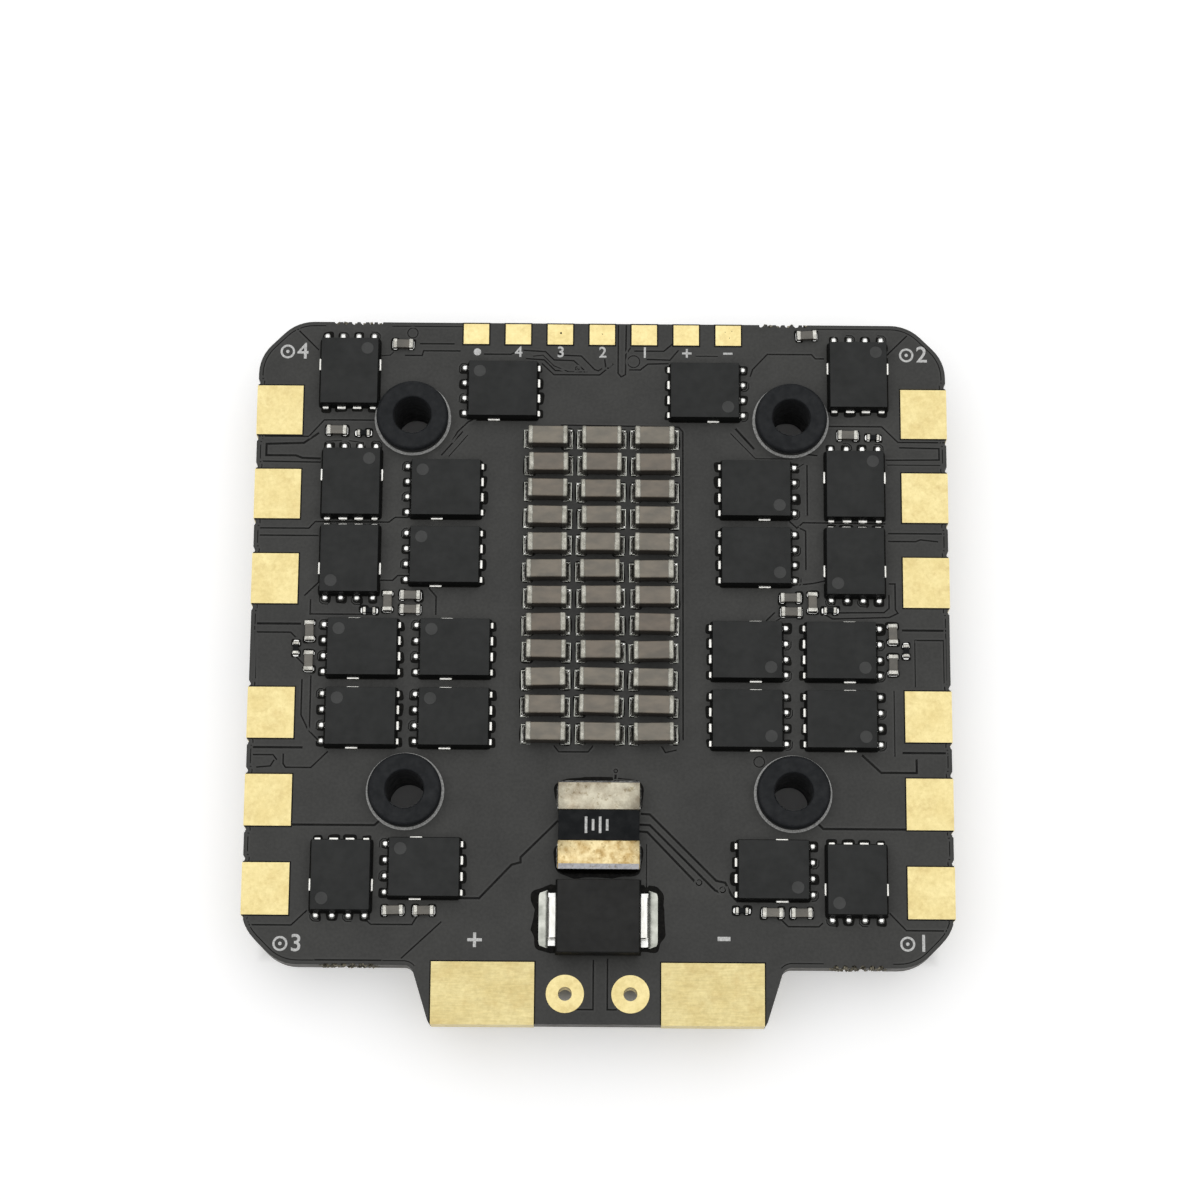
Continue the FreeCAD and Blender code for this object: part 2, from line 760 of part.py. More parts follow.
def signal_socket():
    """Flat cable socket under the signal edge, its mouth towards +Y."""
    body = node(doc.addObject("PartDesign::Body", "socket_housing"), "signal_socket_housing")
    low = "under_clearance - socket_height"
    outline = sketch_on(body, "socket_outline", offset=low)
    rectangle(outline, "0", "signal_edge - socket_depth / 2", "socket_width", "socket_depth")
    pad(body, outline, "socket_height")
    middle_z = f"{low} + socket_wall + socket_cavity_height / 2"
    mouth = sketch_on(body, "socket_mouth", "XZ_Plane", "-signal_edge")
    rectangle(mouth, "0", middle_z, "socket_cavity_width", "socket_cavity_height")
    pocket(body, mouth, "socket_cavity_depth", reverse=True)
    slots = sketch_on(body, "socket_slots", "XZ_Plane", "-signal_edge")
    for index in range(SOCKET_CONTACTS):
        x = f"{index - (SOCKET_CONTACTS - 1) / 2} * contact_pitch"
        rectangle(slots, x, middle_z, "contact_width", "contact_thickness")
    pocket(body, slots, reverse=True)
    return middle_z


def signal_socket_contacts(middle_z):
    """Contacts through the socket's back wall, down to feet on the board."""
    body = node(doc.addObject("PartDesign::Body", "socket_contacts"), "signal_socket_contacts")
    back = "signal_edge - socket_depth"
    root = f"{back} + socket_depth - socket_cavity_depth"
    low, high = (f"{middle_z} {sign} contact_thickness / 2" for sign in "-+")
    first_x = f"{-(SOCKET_CONTACTS - 1) / 2} * contact_pitch"
    profile = sketch_on(body, "contact_profile", "YZ_Plane", first_x)
    corners = (
        (f"{root} + contact_reach", low),
        (f"{root} + contact_reach", high),
        (back, high),
        (back, "under_clearance"),
        (f"{back} - contact_foot", "under_clearance"),
        (f"{back} - contact_foot", "under_clearance - contact_thickness"),
        (f"{back} - contact_thickness", "under_clearance - contact_thickness"),
        (f"{back} - contact_thickness", low),
    )
    polygon(profile, corners)
    strip = pad(body, profile, "contact_width", symmetric=True)
    row = body.newObject("PartDesign::LinearPattern", "contact_row")
    row.Originals = [strip]
    row.Direction = (profile, ["N_Axis"])
    bind(row, "Length", f"contact_pitch * {SOCKET_CONTACTS - 1}")
    row.Occurrences = SOCKET_CONTACTS
    body.Tip = row


def build():
    fill_sheet()
    circuit_board()
    for name, x, y in (
        ("motor_1_grommet", "mount_half_spacing", "-mount_half_spacing"),
        ("motor_2_grommet", "mount_half_spacing", "mount_half_spacing"),
        ("motor_3_grommet", "-mount_half_spacing", "-mount_half_spacing"),
        ("motor_4_grommet", "-mount_half_spacing", "mount_half_spacing"),
    ):
        grommet(name, x, y)
    for motor, places in TRANSISTORS.items():
        names = [f"motor_{motor}_transistor_{index}" for index in range(1, len(places) + 1)]
        for name in names:
            transistor(name)
        leads = [transistor_leads(name) for name in names]
        node(group(f"motor_{motor}_leads", leads), f"motor_{motor}_transistor_leads")
        motor_pads(motor)
    capacitor_bank()
    small_chips()
    battery_pad("battery_positive_pad", -1)
    battery_pad("battery_negative_pad", 1)
    signal_pads()
    capacitor_lead_rings()
    current_shunt()
    surge_diode()
    surge_diode_leads()
    underside_chips()
    underside_supply()
    signal_socket_contacts(signal_socket())
    doc.recompute()


def check():
    """Stop on any failed object, unsound shape or cut that removed nothing."""
    for made in doc.Objects:
        if {"Invalid", "Error"} & set(made.State):
            raise RuntimeError(f"{made.Name} failed: {made.State}")
        if made.TypeId == "PartDesign::Pocket":
            removed = made.BaseFeature.Shape.Volume - made.Shape.Volume
            if removed < 1e-4:
                raise RuntimeError(f"{made.Name} cut nothing")
    for made in nodes:
        if made.Shape.isNull() or not made.Shape.isValid() or not made.Shape.Solids:
            raise RuntimeError(f"{made.Label} has no sound solid")


def write():
    os.makedirs("parts", exist_ok=True)
    for made in nodes:
        made.Shape.exportStep(f"parts/{made.Label}.step")
        print(made.Label, len(made.Shape.Solids), round(made.Shape.Volume, 3))


build()
check()
write()
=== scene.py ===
"""Looks of the four-in-one motor speed controller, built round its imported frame.

Sizes and places are in millimetres and are scaled to metres as each mesh is made. What the
frame holds is read from it: the place of every lead, chip and pad comes from the separate
solids of its nodes. +Z is the power side, +Y the signal edge and -Y the battery tab.
"""
import math
import random

import bmesh
import bpy
from mathutils import Matrix, Vector, noise


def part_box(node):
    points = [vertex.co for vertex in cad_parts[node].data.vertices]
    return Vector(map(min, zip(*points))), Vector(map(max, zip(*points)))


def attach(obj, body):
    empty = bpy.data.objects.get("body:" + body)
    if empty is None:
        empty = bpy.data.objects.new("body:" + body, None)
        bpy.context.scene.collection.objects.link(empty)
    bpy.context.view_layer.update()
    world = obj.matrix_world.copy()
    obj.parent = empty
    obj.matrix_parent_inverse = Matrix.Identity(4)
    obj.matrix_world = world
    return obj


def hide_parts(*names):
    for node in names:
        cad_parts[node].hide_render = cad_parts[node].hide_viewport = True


MM = 0.001
SIDES = (-1, 1)

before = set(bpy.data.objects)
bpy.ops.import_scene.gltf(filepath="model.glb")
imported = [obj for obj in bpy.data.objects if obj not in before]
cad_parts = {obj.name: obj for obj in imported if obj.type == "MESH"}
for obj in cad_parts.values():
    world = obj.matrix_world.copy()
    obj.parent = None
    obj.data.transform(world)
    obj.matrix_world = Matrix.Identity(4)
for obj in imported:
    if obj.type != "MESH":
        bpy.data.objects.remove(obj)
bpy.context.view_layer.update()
dice = random.Random(7)


def limits(node):
    """Lowest and highest corner of a node, in millimetres."""
    low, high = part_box(node)
    return low / MM, high / MM


def extent(node):
    """Middle and size of a whole node, in millimetres."""
    low, high = limits(node)
    return (low + high) / 2, high - low


def joined_mesh(node):
    """A bmesh of a node whose triangles share their corners, in metres."""
    mesh = bmesh.new()
    mesh.from_mesh(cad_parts[node].data)
    bmesh.ops.remove_doubles(mesh, verts=mesh.verts, dist=1e-7)
    return mesh


BOARD_LOW, BOARD_HIGH = limits("circuit_board")
TOP = BOARD_HIGH.z
UNDER = BOARD_LOW.z
FLIP = Matrix.Rotation(math.pi, 4, "X")


def solids(node):
    """Middle and size of each separate solid of a node, in millimetres."""
    mesh = joined_mesh(node)
    left = set(mesh.verts)
    found = []
    while left:
        waiting = [left.pop()]
        island = []
        while waiting:
            vert = waiting.pop()
            island.append(vert.co / MM)
            for edge in vert.link_edges:
                other = edge.other_vert(vert)
                if other in left:
                    left.discard(other)
                    waiting.append(other)
        low = Vector([min(co[axis] for co in island) for axis in range(3)])
        high = Vector([max(co[axis] for co in island) for axis in range(3)])
        found.append(((low + high) / 2, high - low))
    mesh.free()
    return sorted(found, key=lambda solid: tuple(round(part, 3) for part in solid[0]))


# ---------------------------------------------------------------- materials


class Look:
    """A Principled material whose colour, roughness and relief vary over the surface."""

    def __init__(self, name, metallic=0.0, **sockets):
        self.material = bpy.data.materials.new(name)
        self.material.use_nodes = True
        self.tree = self.material.node_tree
        self.shader = self.tree.nodes["Principled BSDF"]
        self.shader.inputs["Metallic"].default_value = metallic
        for socket, value in sockets.items():
            self.shader.inputs[socket.replace("_", " ")].default_value = value
        self.place = self.add("ShaderNodeTexCoord").outputs["Object"]
        self.relief = None

    def add(self, kind, **settings):
        made = self.tree.nodes.new(kind)
        for name, value in settings.items():
            setattr(made, name, value)
        return made

    def link(self, source, target):
        self.tree.links.new(source, target)

    def noise(self, size, detail=3.0, stretch=(1, 1, 1), sharp=0.5):
        """Noise with features about this many millimetres across."""
        mapping = self.add("ShaderNodeMapping")
        mapping.inputs["Scale"].default_value = [part / (size * MM) for part in stretch]
        self.link(self.place, mapping.inputs["Vector"])
        made = self.add("ShaderNodeTexNoise")
        made.inputs["Scale"].default_value = 1.0
        made.inputs["Detail"].default_value = detail
        made.inputs["Roughness"].default_value = sharp
        self.link(mapping.outputs["Vector"], made.inputs["Vector"])
        return made.outputs["Fac"]

    def ramp(self, source, low, high, start=0.35, end=0.65):
        """Spread a factor between start and end over two values or two colours."""
        made = self.add("ShaderNodeValToRGB")
        ends = made.color_ramp.elements
        for element, place, value in zip(ends, (start, end), (low, high)):
            element.position = place
            colour = value if isinstance(value, tuple) else (value,) * 3
            element.color = (*colour, 1)
        self.link(source, made.inputs["Fac"])
        return made.outputs["Color"]

    def mix(self, factor, first, second, how="MIX"):
        made = self.add("ShaderNodeMix", data_type="RGBA", blend_type=how)
        for socket, value in (("Factor", factor), ("A", first), ("B", second)):
            target = next(s for s in made.inputs if s.name == socket and s.enabled)
            if isinstance(value, bpy.types.NodeSocket):
                self.link(value, target)
            else:
                target.default_value = (*value, 1) if isinstance(value, tuple) else value
        return next(s for s in made.outputs if s.enabled)

    def times(self, first, second):
        return self.mix(1.0, first, second, "MULTIPLY")

    def walled(self, wall, top, start, end):
        """One colour on upright walls, another on faces that look up or down."""
        return self.mix(self.ramp(self.upward(), 0.0, 1.0, start, end), wall, top)

    def colour(self, source):
        self.link(source, self.shader.inputs["Base Color"])

    def roughness(self, source):
        self.link(source, self.shader.inputs["Roughness"])

    def bump(self, source, height):
        """Add relief of this many millimetres on top of what is already there."""
        made = self.add("ShaderNodeBump")
        made.inputs["Strength"].default_value = 1.0
        made.inputs["Distance"].default_value = height * MM
        self.link(source, made.inputs["Height"])
        if self.relief:
            self.link(self.relief, made.inputs["Normal"])
        self.relief = made.outputs["Normal"]
        self.link(self.relief, self.shader.inputs["Normal"])

    def math(self, kind, *values):
        made = self.add("ShaderNodeMath", operation=kind)
        for socket, value in zip(made.inputs, values):
            if isinstance(value, bpy.types.NodeSocket):
                self.link(value, socket)
            else:
                socket.default_value = value
        return made.outputs[0]

    def beyond(self, x, y, half_x, half_y):
        """How far a point is outside an upright box, in millimetres: negative inside it."""
        split = self.add("ShaderNodeSeparateXYZ")
        self.link(self.place, split.inputs[0])
        gaps = []
        for axis, middle, half in (("X", x, half_x), ("Y", y, half_y)):
            across = self.math("MULTIPLY_ADD", split.outputs[axis], 1 / MM, -middle)
            gaps.append(self.math("SUBTRACT", self.math("ABSOLUTE", across), half))
        return self.math("MAXIMUM", *gaps)

    def upward(self):
        """How far the surface faces up or down: 1 on the board's two faces, 0 on its edge."""
        split = self.add("ShaderNodeSeparateXYZ")
        self.link(self.add("ShaderNodeNewGeometry").outputs["Normal"], split.inputs[0])
        return self.math("ABSOLUTE", split.outputs["Z"])

    def each(self):
        """A random number for each separate solid of a mesh."""
        return self.add("ShaderNodeNewGeometry").outputs["Random Per Island"]


def plain_look(name, tones, rough, *reliefs, **settings):
    """A look whose colour, roughness and relief each follow a noise, given as size and detail."""
    look = Look(name, **settings)
    grain, dark, light = tones
    look.colour(look.ramp(look.noise(*grain), dark, light))
    grain, low, high = rough
    look.roughness(look.ramp(look.noise(*grain), low, high))
    for grain, height in reliefs:
        look.bump(look.noise(*grain), height)
    return look.material


def ink_look(name, dark, light):
    """Screen printed ink, a little thin in places."""
    return plain_look(name, ((0.12, 4), dark, light), ((0.2, 3), 0.5, 0.7), ((0.08, 3), 0.004))


def board_look():
    """Matte mask on the two faces, and cut glass laminate under a smear of ink on the edge."""
    look = Look("board", Specular_IOR_Level=0.25)
    mask = look.ramp(look.noise(6.0), (0.043, 0.043, 0.041), (0.051, 0.051, 0.048))
    speck = look.ramp(look.noise(0.25, 2.0), 0.9, 1.08)
    mask = look.times(mask, speck)
    fibre = look.noise(0.5, 4.0, stretch=(0.25, 0.25, 5.0))
    laminate = look.ramp(fibre, (0.018, 0.017, 0.014), (0.060, 0.052, 0.036))
    look.colour(look.walled(laminate, mask, 0.4, 0.8))
    look.roughness(look.ramp(look.noise(1.4, 4.0), 0.44, 0.56))
    look.bump(look.noise(0.12, 2.0), 0.002)
    look.bump(look.noise(0.7, 2.0), 0.004)
    return look.material


def mould_look(name, dark, light, rough=(0.5, 0.62)):
    """Moulding compound: a matte top with fine filler grain, and walls darkened to near black with painted
    shade.
    """
    look = Look(name, Specular_IOR_Level=0.25)
    cloud = look.ramp(look.noise(2.2, 4.0), dark, light)
    drag = look.ramp(look.noise(0.9, 3.0, stretch=(0.5, 1.5, 1.0)), 0.96, 1.04)
    top = look.times(cloud, drag)
    # painted shade: the walls take a quarter of the dark tone
    wall = tuple(part * 0.25 for part in dark)
    look.colour(look.walled(wall, top, 0.3, 0.9))
    look.roughness(look.ramp(look.noise(0.6, 5.0), *rough))
    look.bump(look.noise(0.05, 3.0), 0.002)
    look.bump(look.noise(0.5, 3.0), 0.003)
    return look.material


def lead_look():
    """Tinned lead frame metal."""
    look = Look("tinned_lead", metallic=1.0)
    drag = look.noise(0.4, 3.0, stretch=(2.0, 0.5, 1.0))
    look.colour(look.ramp(drag, (0.76, 0.75, 0.70), (0.93, 0.92, 0.88)))
    look.roughness(look.ramp(look.noise(0.5, 3.0), 0.26, 0.4))
    look.bump(look.noise(0.5, 2.0), 0.002)
    return look.material


def gold_look(name="gold", shade=1.0, wear=0.0):
    """Thin gold on nickel: pale, satin, with faint brown smudges and a fine grain."""
    look = Look(name, metallic=1.0)
    dull = tuple(part * shade for part in (0.77, 0.64, 0.305))
    bright = tuple(part * shade for part in (0.85, 0.73, 0.375))
    plate = look.ramp(look.noise(2.0, 4.0), dull, bright)
    grain = look.ramp(look.noise(0.22, 5.0, sharp=0.7), (0.93, 0.92, 0.88), (1.04, 1.04, 1.04))
    plate = look.times(plate, grain)
    scratch = look.noise(0.3, 5.0, stretch=(0.3, 2.2, 1.0), sharp=0.6)
    drag = look.ramp(scratch, 1.0 - wear, 1.0 + wear * 0.3)
    plate = look.times(plate, drag)
    stain = look.ramp(look.noise(1.1, 7.0, sharp=0.68), 0.0, 0.4, 0.52, 0.72)
    look.colour(look.mix(stain, plate, (0.55, 0.40, 0.16)))
    look.roughness(look.ramp(look.noise(0.35, 5.0), 0.36, 0.5))
    look.bump(look.noise(0.06, 3.0), 0.0015)
    return look.material


def ceramic_look(name, brown, grey):
    """Fired ceramic, each capacitor a little browner or greyer than the next, with walls in painted shade.
    """
    look = Look(name)
    own = look.ramp(look.each(), brown, grey, 0.0, 1.0)
    cloud = look.noise(0.8, 4.0, stretch=(0.6, 1.3, 1.0))
    cloud = look.ramp(cloud, (0.84, 0.85, 0.84), (1.16, 1.13, 1.08))
    top = look.times(own, cloud)
    # painted shade: near-black brown on the walls
    look.colour(look.walled((0.07, 0.06, 0.05), top, 0.2, 0.8))
    look.roughness(look.ramp(look.noise(0.3, 4.0), 0.34, 0.5))
    look.bump(look.noise(0.09, 3.0), 0.003)
    look.bump(look.noise(0.6, 2.0), 0.008)
    return look.material


def end_look(name, dull, bright):
    """Barrel-plated tin with a fine grain whose bright specks are painted glints, and walls in painted
    shade.
    """
    look = Look(name, metallic=0.75)
    cloud = look.ramp(look.noise(0.5, 5.0), dull, bright)
    # grain of the tin; its specks brighter than the plate are painted glints
    grain = look.ramp(look.noise(0.07, 2.0), (0.8, 0.8, 0.8), (1.25, 1.25, 1.22), 0.45, 0.62)
    top = look.times(cloud, grain)
    # painted shade: dark grey on the walls
    look.colour(look.walled((0.20, 0.19, 0.165), top, 0.1, 0.6))
    look.roughness(look.ramp(look.noise(0.2, 4.0), 0.36, 0.58))
    look.bump(look.noise(0.06, 3.0), 0.006)
    look.bump(look.noise(0.4, 3.0), 0.02)
    return look.material


def shunt_metal_look(name, dull, bright, wall, scuffed):
    """Plated copper terminal: smudged, with fine dark scuffs and walls darkened with painted shade."""
    look = Look(name, metallic=1.0)
    smudge = look.noise(scuffed, 7.0, sharp=0.66)
    scuff = look.noise(scuffed * 0.4, 7.0, sharp=0.7)
    scuff = look.ramp(scuff, (0.62, 0.57, 0.48), 1.0, 0.36, 0.44)
    plate = look.times(look.ramp(smudge, dull, bright, 0.38, 0.6), scuff)
    # painted shade on the walls, in the colour given as wall
    look.colour(look.walled(wall, plate, 0.3, 0.8))
    look.roughness(look.ramp(look.noise(0.5, 5.0), 0.3, 0.5))
    look.bump(smudge, 0.004)
    look.bump(look.noise(0.2, 4.0, stretch=(0.2, 2.0, 1.0)), 0.002)
    return look.material


def rubber_look():
    """Soft moulded rubber with a bloom of dust."""
    look = Look("rubber", Specular_IOR_Level=0.2, Sheen_Weight=0.03, Sheen_Roughness=0.5)
    dust = look.ramp(look.noise(0.9, 6.0, sharp=0.6), 0.0, 1.0, 0.45, 0.75)
    look.colour(look.mix(dust, (0.0105, 0.0118, 0.0135), (0.019, 0.0205, 0.0225)))
    look.roughness(look.ramp(look.noise(0.5, 4.0), 0.52, 0.72))
    look.bump(look.noise(0.12, 4.0), 0.008)
    look.bump(look.noise(1.2, 3.0), 0.02)
    return look.material


def fibre_look():
    """Torn glass fibre, each splinter paler or browner than the next."""
    look = Look("torn_laminate")
    strand = look.noise(0.12, 4.0, stretch=(0.5, 0.5, 3.0))
    own = look.ramp(look.each(), (0.10, 0.085, 0.055), (1.0, 0.95, 0.8), 0.0, 1.0)
    look.colour(look.times(own, look.ramp(strand, (0.16, 0.15, 0.13), (0.42, 0.40, 0.34))))
    look.roughness(look.ramp(look.noise(0.1), 0.6, 0.9))
    look.bump(strand, 0.03)
    return look.material


BOARD = board_look()
MASK = plain_look(
    "mask_relief", ((6.0, 3), (0.047, 0.047, 0.045), (0.056, 0.056, 0.053)), ((1.0, 3), 0.36, 0.5),
    ((0.12, 2), 0.002), Specular_IOR_Level=0.25,
)
# bare laminate at the bottom of an etched gap, dark under the mask
GROOVE = plain_look(
    "etched_gap", ((0.8, 3), (0.004, 0.004, 0.004), (0.010, 0.010, 0.009)), ((0.5, 3), 0.4, 0.6),
    ((0.1, 2), 0.003), Specular_IOR_Level=0.1,
)
# dark glassy flux left round a solder joint; the skirt round each transistor's foot and the band in front
# of the lower shunt terminal are flux that also stands in for painted shade
FLUX_AND_PAINTED_SHADE = plain_look(
    "flux", ((0.3, 4), (0.002, 0.002, 0.0018), (0.008, 0.0075, 0.006)), ((0.25, 4), 0.25, 0.55),
    ((0.15, 4), 0.006), Specular_IOR_Level=0.07,
)
MOULD = mould_look("transistor_mould", (0.0175, 0.0185, 0.018), (0.0235, 0.0245, 0.024))
MARK = mould_look("pin_dimple", (0.044, 0.045, 0.044), (0.056, 0.057, 0.056), (0.4, 0.55))
DIODE_MOULD = mould_look("diode_mould", (0.0105, 0.0105, 0.010), (0.0155, 0.0155, 0.0145))
CHIP_MOULD = mould_look("chip_mould", (0.013, 0.013, 0.0135), (0.02, 0.02, 0.021), (0.42, 0.56))
# bright solder, a little frosted where it froze last
SOLDER = plain_look(
    "solder", ((0.6, 4), (0.8, 0.8, 0.77), (0.93, 0.93, 0.91)), ((0.4, 4), 0.16, 0.3),
    ((0.3, 3), 0.004), metallic=1.0,
)
# duller solder drawn up the end of a capacitor
FILLET = plain_look(
    "solder_fillet", ((0.25, 4), (0.10, 0.10, 0.095), (0.42, 0.41, 0.38)), ((0.2, 4), 0.2, 0.4),
    ((0.25, 3), 0.008), metallic=1.0,
)
# satin solder spread over broad feet and tabs
FOOT = plain_look(
    "diode_foot", ((0.9, 4), (0.36, 0.37, 0.33), (0.62, 0.63, 0.57)), ((0.6, 3), 0.28, 0.42),
    ((0.8, 2), 0.006), metallic=1.0,
)
LEAD = lead_look()
GOLD = gold_look()
GOLD_WORN = gold_look("gold_worn", 0.88, 0.1)
GOLD_CLEAN = gold_look("gold_clean", 1.08)
CERAMIC = ceramic_look("capacitor_ceramic", (0.155, 0.130, 0.104), (0.215, 0.195, 0.160))
CERAMIC_SMALL = ceramic_look("small_capacitor_ceramic", (0.120, 0.112, 0.098), (0.165, 0.156, 0.138))
CHIP_END = end_look("capacitor_end", (0.34, 0.33, 0.285), (0.54, 0.53, 0.475))
SMALL_END = end_look("small_chip_end", (0.46, 0.45, 0.41), (0.78, 0.77, 0.72))
# Painted shade for the shunt terminals' walls: dark tan, and near black for the warm lower terminal.
PAINTED_SHADE_TAN, PAINTED_SHADE_BLACK = (0.20, 0.18, 0.14), (0.02, 0.019, 0.018)
SHUNT_GREY, SHUNT_WARM, SHUNT_EDGE = (
    shunt_metal_look(f"shunt_terminal_{name}", *tones)
    for name, *tones in (
        ("grey", (0.37, 0.32, 0.235), (0.60, 0.56, 0.44), PAINTED_SHADE_TAN, 1.1),
        ("warm", (0.54, 0.38, 0.16), (0.86, 0.72, 0.41), PAINTED_SHADE_BLACK, 0.9),
        ("edge", (0.27, 0.27, 0.285), (0.45, 0.45, 0.465), PAINTED_SHADE_TAN, 0.5),
    )
)
COAT = plain_look(
    "shunt_coat", ((0.7, 4), (0.007, 0.008, 0.009), (0.014, 0.015, 0.016)), ((0.4, 4), 0.42, 0.58),
    ((0.08, 3), 0.004), Specular_IOR_Level=0.08,
)
RUBBER = rubber_look()
WHITE_INK = ink_look("white_ink", (0.42, 0.42, 0.41), (0.68, 0.68, 0.67))
GREY_INK = ink_look("ring_ink", (0.26, 0.26, 0.25), (0.5, 0.5, 0.49))
FIBRE = fibre_look()
FERRITE = plain_look(
    "ferrite", ((0.12, 5), (0.028, 0.028, 0.031), (0.06, 0.06, 0.065)), ((0.3, 4), 0.5, 0.75),
    ((0.1, 4), 0.02),
)
PLASTIC = plain_look(
    "socket_plastic", ((1.5, 4), (0.62, 0.56, 0.43), (0.70, 0.64, 0.51)), ((0.4, 4), 0.38, 0.55),
    ((0.1, 3), 0.004),
)
CONTACT = plain_look(
    "contact", ((0.3, 4), (0.72, 0.58, 0.32), (0.88, 0.76, 0.48)), ((0.2, 4), 0.2, 0.38),
    ((0.1, 3), 0.003), metallic=1.0,
)


# ---------------------------------------------------------------- shapes

# Edges that bend by more than this are drawn sharp.
SHARP_DEGREES = 40
# Share of a quarter turn that a dome or a puddle climbs, which leaves it a small flat top.
CLIMB = math.pi / 2 * 0.96


class Build:
    """Gathers solids given in millimetres into one mesh that rides on the board."""

    def __init__(self, name, materials, slot):
        self.name = name
        self.materials = materials
        self.slot = slot
        self.verts = []
        self.faces = []
        self.inks = []

    def add(self, shape, place=Matrix(), material=None):
        """Add a shape: its points, its faces and, for each face, its material."""
        verts, faces, inks = shape
        first = len(self.verts)
        self.verts += [(place @ Vector(vert)) * MM for vert in verts]
        flipped = place.to_3x3().determinant() < 0
        for index, face in enumerate(faces):
            turned = reversed(face) if flipped else face
            self.faces.append([first + corner for corner in turned])
            ink = material or (inks[index] if inks else self.materials[0])
            self.inks.append(self.materials.index(ink))

    def finish(self, *replaced):
        """Make the mesh, which rides on the board and stands in for the nodes named."""
        mesh = bpy.data.meshes.new(self.name)
        mesh.from_pydata(self.verts, [], self.faces)
        for material in self.materials:
            mesh.materials.append(material)
        mesh.polygons.foreach_set("material_index", self.inks)
        outward = bmesh.new()
        outward.from_mesh(mesh)
        bmesh.ops.recalc_face_normals(outward, faces=outward.faces)
        outward.to_mesh(mesh)
        outward.free()
        mesh.polygons.foreach_set("use_smooth", [True] * len(self.faces))
        mesh.set_sharp_from_angle(angle=math.radians(SHARP_DEGREES))
        mesh.update()
        piece = bpy.data.objects.new(self.name, mesh)
        bpy.context.scene.collection.objects.link(piece)
        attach(piece, "root")
        if replaced:
            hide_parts(*replaced)


def shape_of(mesh):
    """Points and faces of a bmesh, which is freed."""
    bmesh.ops.recalc_face_normals(mesh, faces=mesh.faces)
    mesh.verts.index_update()
    verts = [tuple(vert.co) for vert in mesh.verts]
    faces = [[vert.index for vert in face.verts] for face in mesh.faces]
    mesh.free()
    return verts, faces, None


def block(size, bevel, segments=2, draft=0.0, spare_base=True):
    """Box standing on its middle, with rounded edges and walls that lean in by the draft."""
    mesh = bmesh.new()
    bmesh.ops.create_cube(mesh, size=1.0)
    for vert in mesh.verts:
        lean = draft if vert.co.z > 0 else 0.0
        vert.co.x *= size[0] - 2 * lean
        vert.co.y *= size[1] - 2 * lean
        vert.co.z = (vert.co.z + 0.5) * size[2]
    edges = [e for e in mesh.edges if not spare_base or max(v.co.z for v in e.verts) > 0.01]
    bmesh.ops.bevel(mesh, geom=edges, offset=bevel, segments=segments, affect="EDGES", profile=0.5)
    return shape_of(mesh)


def loft(rings):
    """Closed skin through rings of points, with a flat face on the first and the last."""
    count = len(rings[0])
    verts = [point for ring in rings for point in ring]
    faces = [list(reversed(range(count)))]
    for ring in range(len(rings) - 1):
        for index in range(count):
            after = (index + 1) % count
            low = ring * count
            faces.append([low + index, low + after, low + count + after, low + count + index])
    faces.append([len(verts) - count + index for index in range(count)])
    return verts, faces, None


def lathe(profile, sides=64):
    """Ring solid: a closed profile of (radius, height) pairs turned about Z."""
    count = len(profile)
    verts = []
    for step in range(sides):
        turn = 2 * math.pi * step / sides
        verts += [(r * math.cos(turn), r * math.sin(turn), z) for r, z in profile]
    faces = []
    for step in range(sides):
        here, there = step * count, (step + 1) % sides * count
        for index in range(count):
            after = (index + 1) % count
            faces.append([here + index, there + index, there + after, here + after])
    return verts, faces, None


def dome(length, width, height, steps=5, sides=20, square=3.0):
    """Blob of solder with a soft rectangular foot."""
    rings = []
    for step in range(steps + 1):
        rise = step / steps * CLIMB
        ring = []
        for index in range(sides):
            turn = 2 * math.pi * index / sides
            flat = [math.cos(turn), math.sin(turn)]
            x, y = (math.copysign(abs(part) ** (2 / square), part) for part in flat)
            reach = math.cos(rise) ** 0.6
            ring.append((x * length / 2 * reach, y * width / 2 * reach, height * math.sin(rise)))
        rings.append(ring)
    return loft(rings)


def blot(length, width, height, ragged, steps=3, sides=64):
    """Puddle of flux with an uneven outline."""
    shift = Vector((dice.uniform(0, 50), dice.uniform(0, 50), 0))
    rings = []
    for step in range(steps + 1):
        rise = step / steps * CLIMB
        ring = []
        for index in range(sides):
            turn = 2 * math.pi * index / sides
            flat = [math.cos(turn), math.sin(turn)]
            flat = Vector([math.copysign(abs(part) ** 0.5, part) for part in flat])
            spread = Vector((flat.x * length / 2, flat.y * width / 2))
            spread += flat * ragged * noise.noise(Vector((*(spread * 0.8), 0)) + shift)
            spread *= math.cos(rise) ** 0.5
            ring.append((spread.x, spread.y, height * math.sin(rise)))
        rings.append(ring)
    return loft(rings)


def wick(reach, width, height, steps=12, curve=7, square=5):
    """Solder wicked up a wall at x = 0: hollow-faced, and drawn out to x = reach."""
    rings = []
    for step in range(steps + 1):
        across = 2 * step / steps - 1
        full = math.sqrt(max(0.02, 1 - abs(across) ** square))
        ring = [(0, across * width / 2, 0)]
        for index in range(curve + 1):
            turn = math.pi / 2 * index / curve
            x = reach * full * (1 - math.sin(turn))
            z = height * full * (1 - math.cos(turn)) + 0.02
            ring.append((x, across * width / 2, z))
        rings.append(ring)
    return loft(rings)


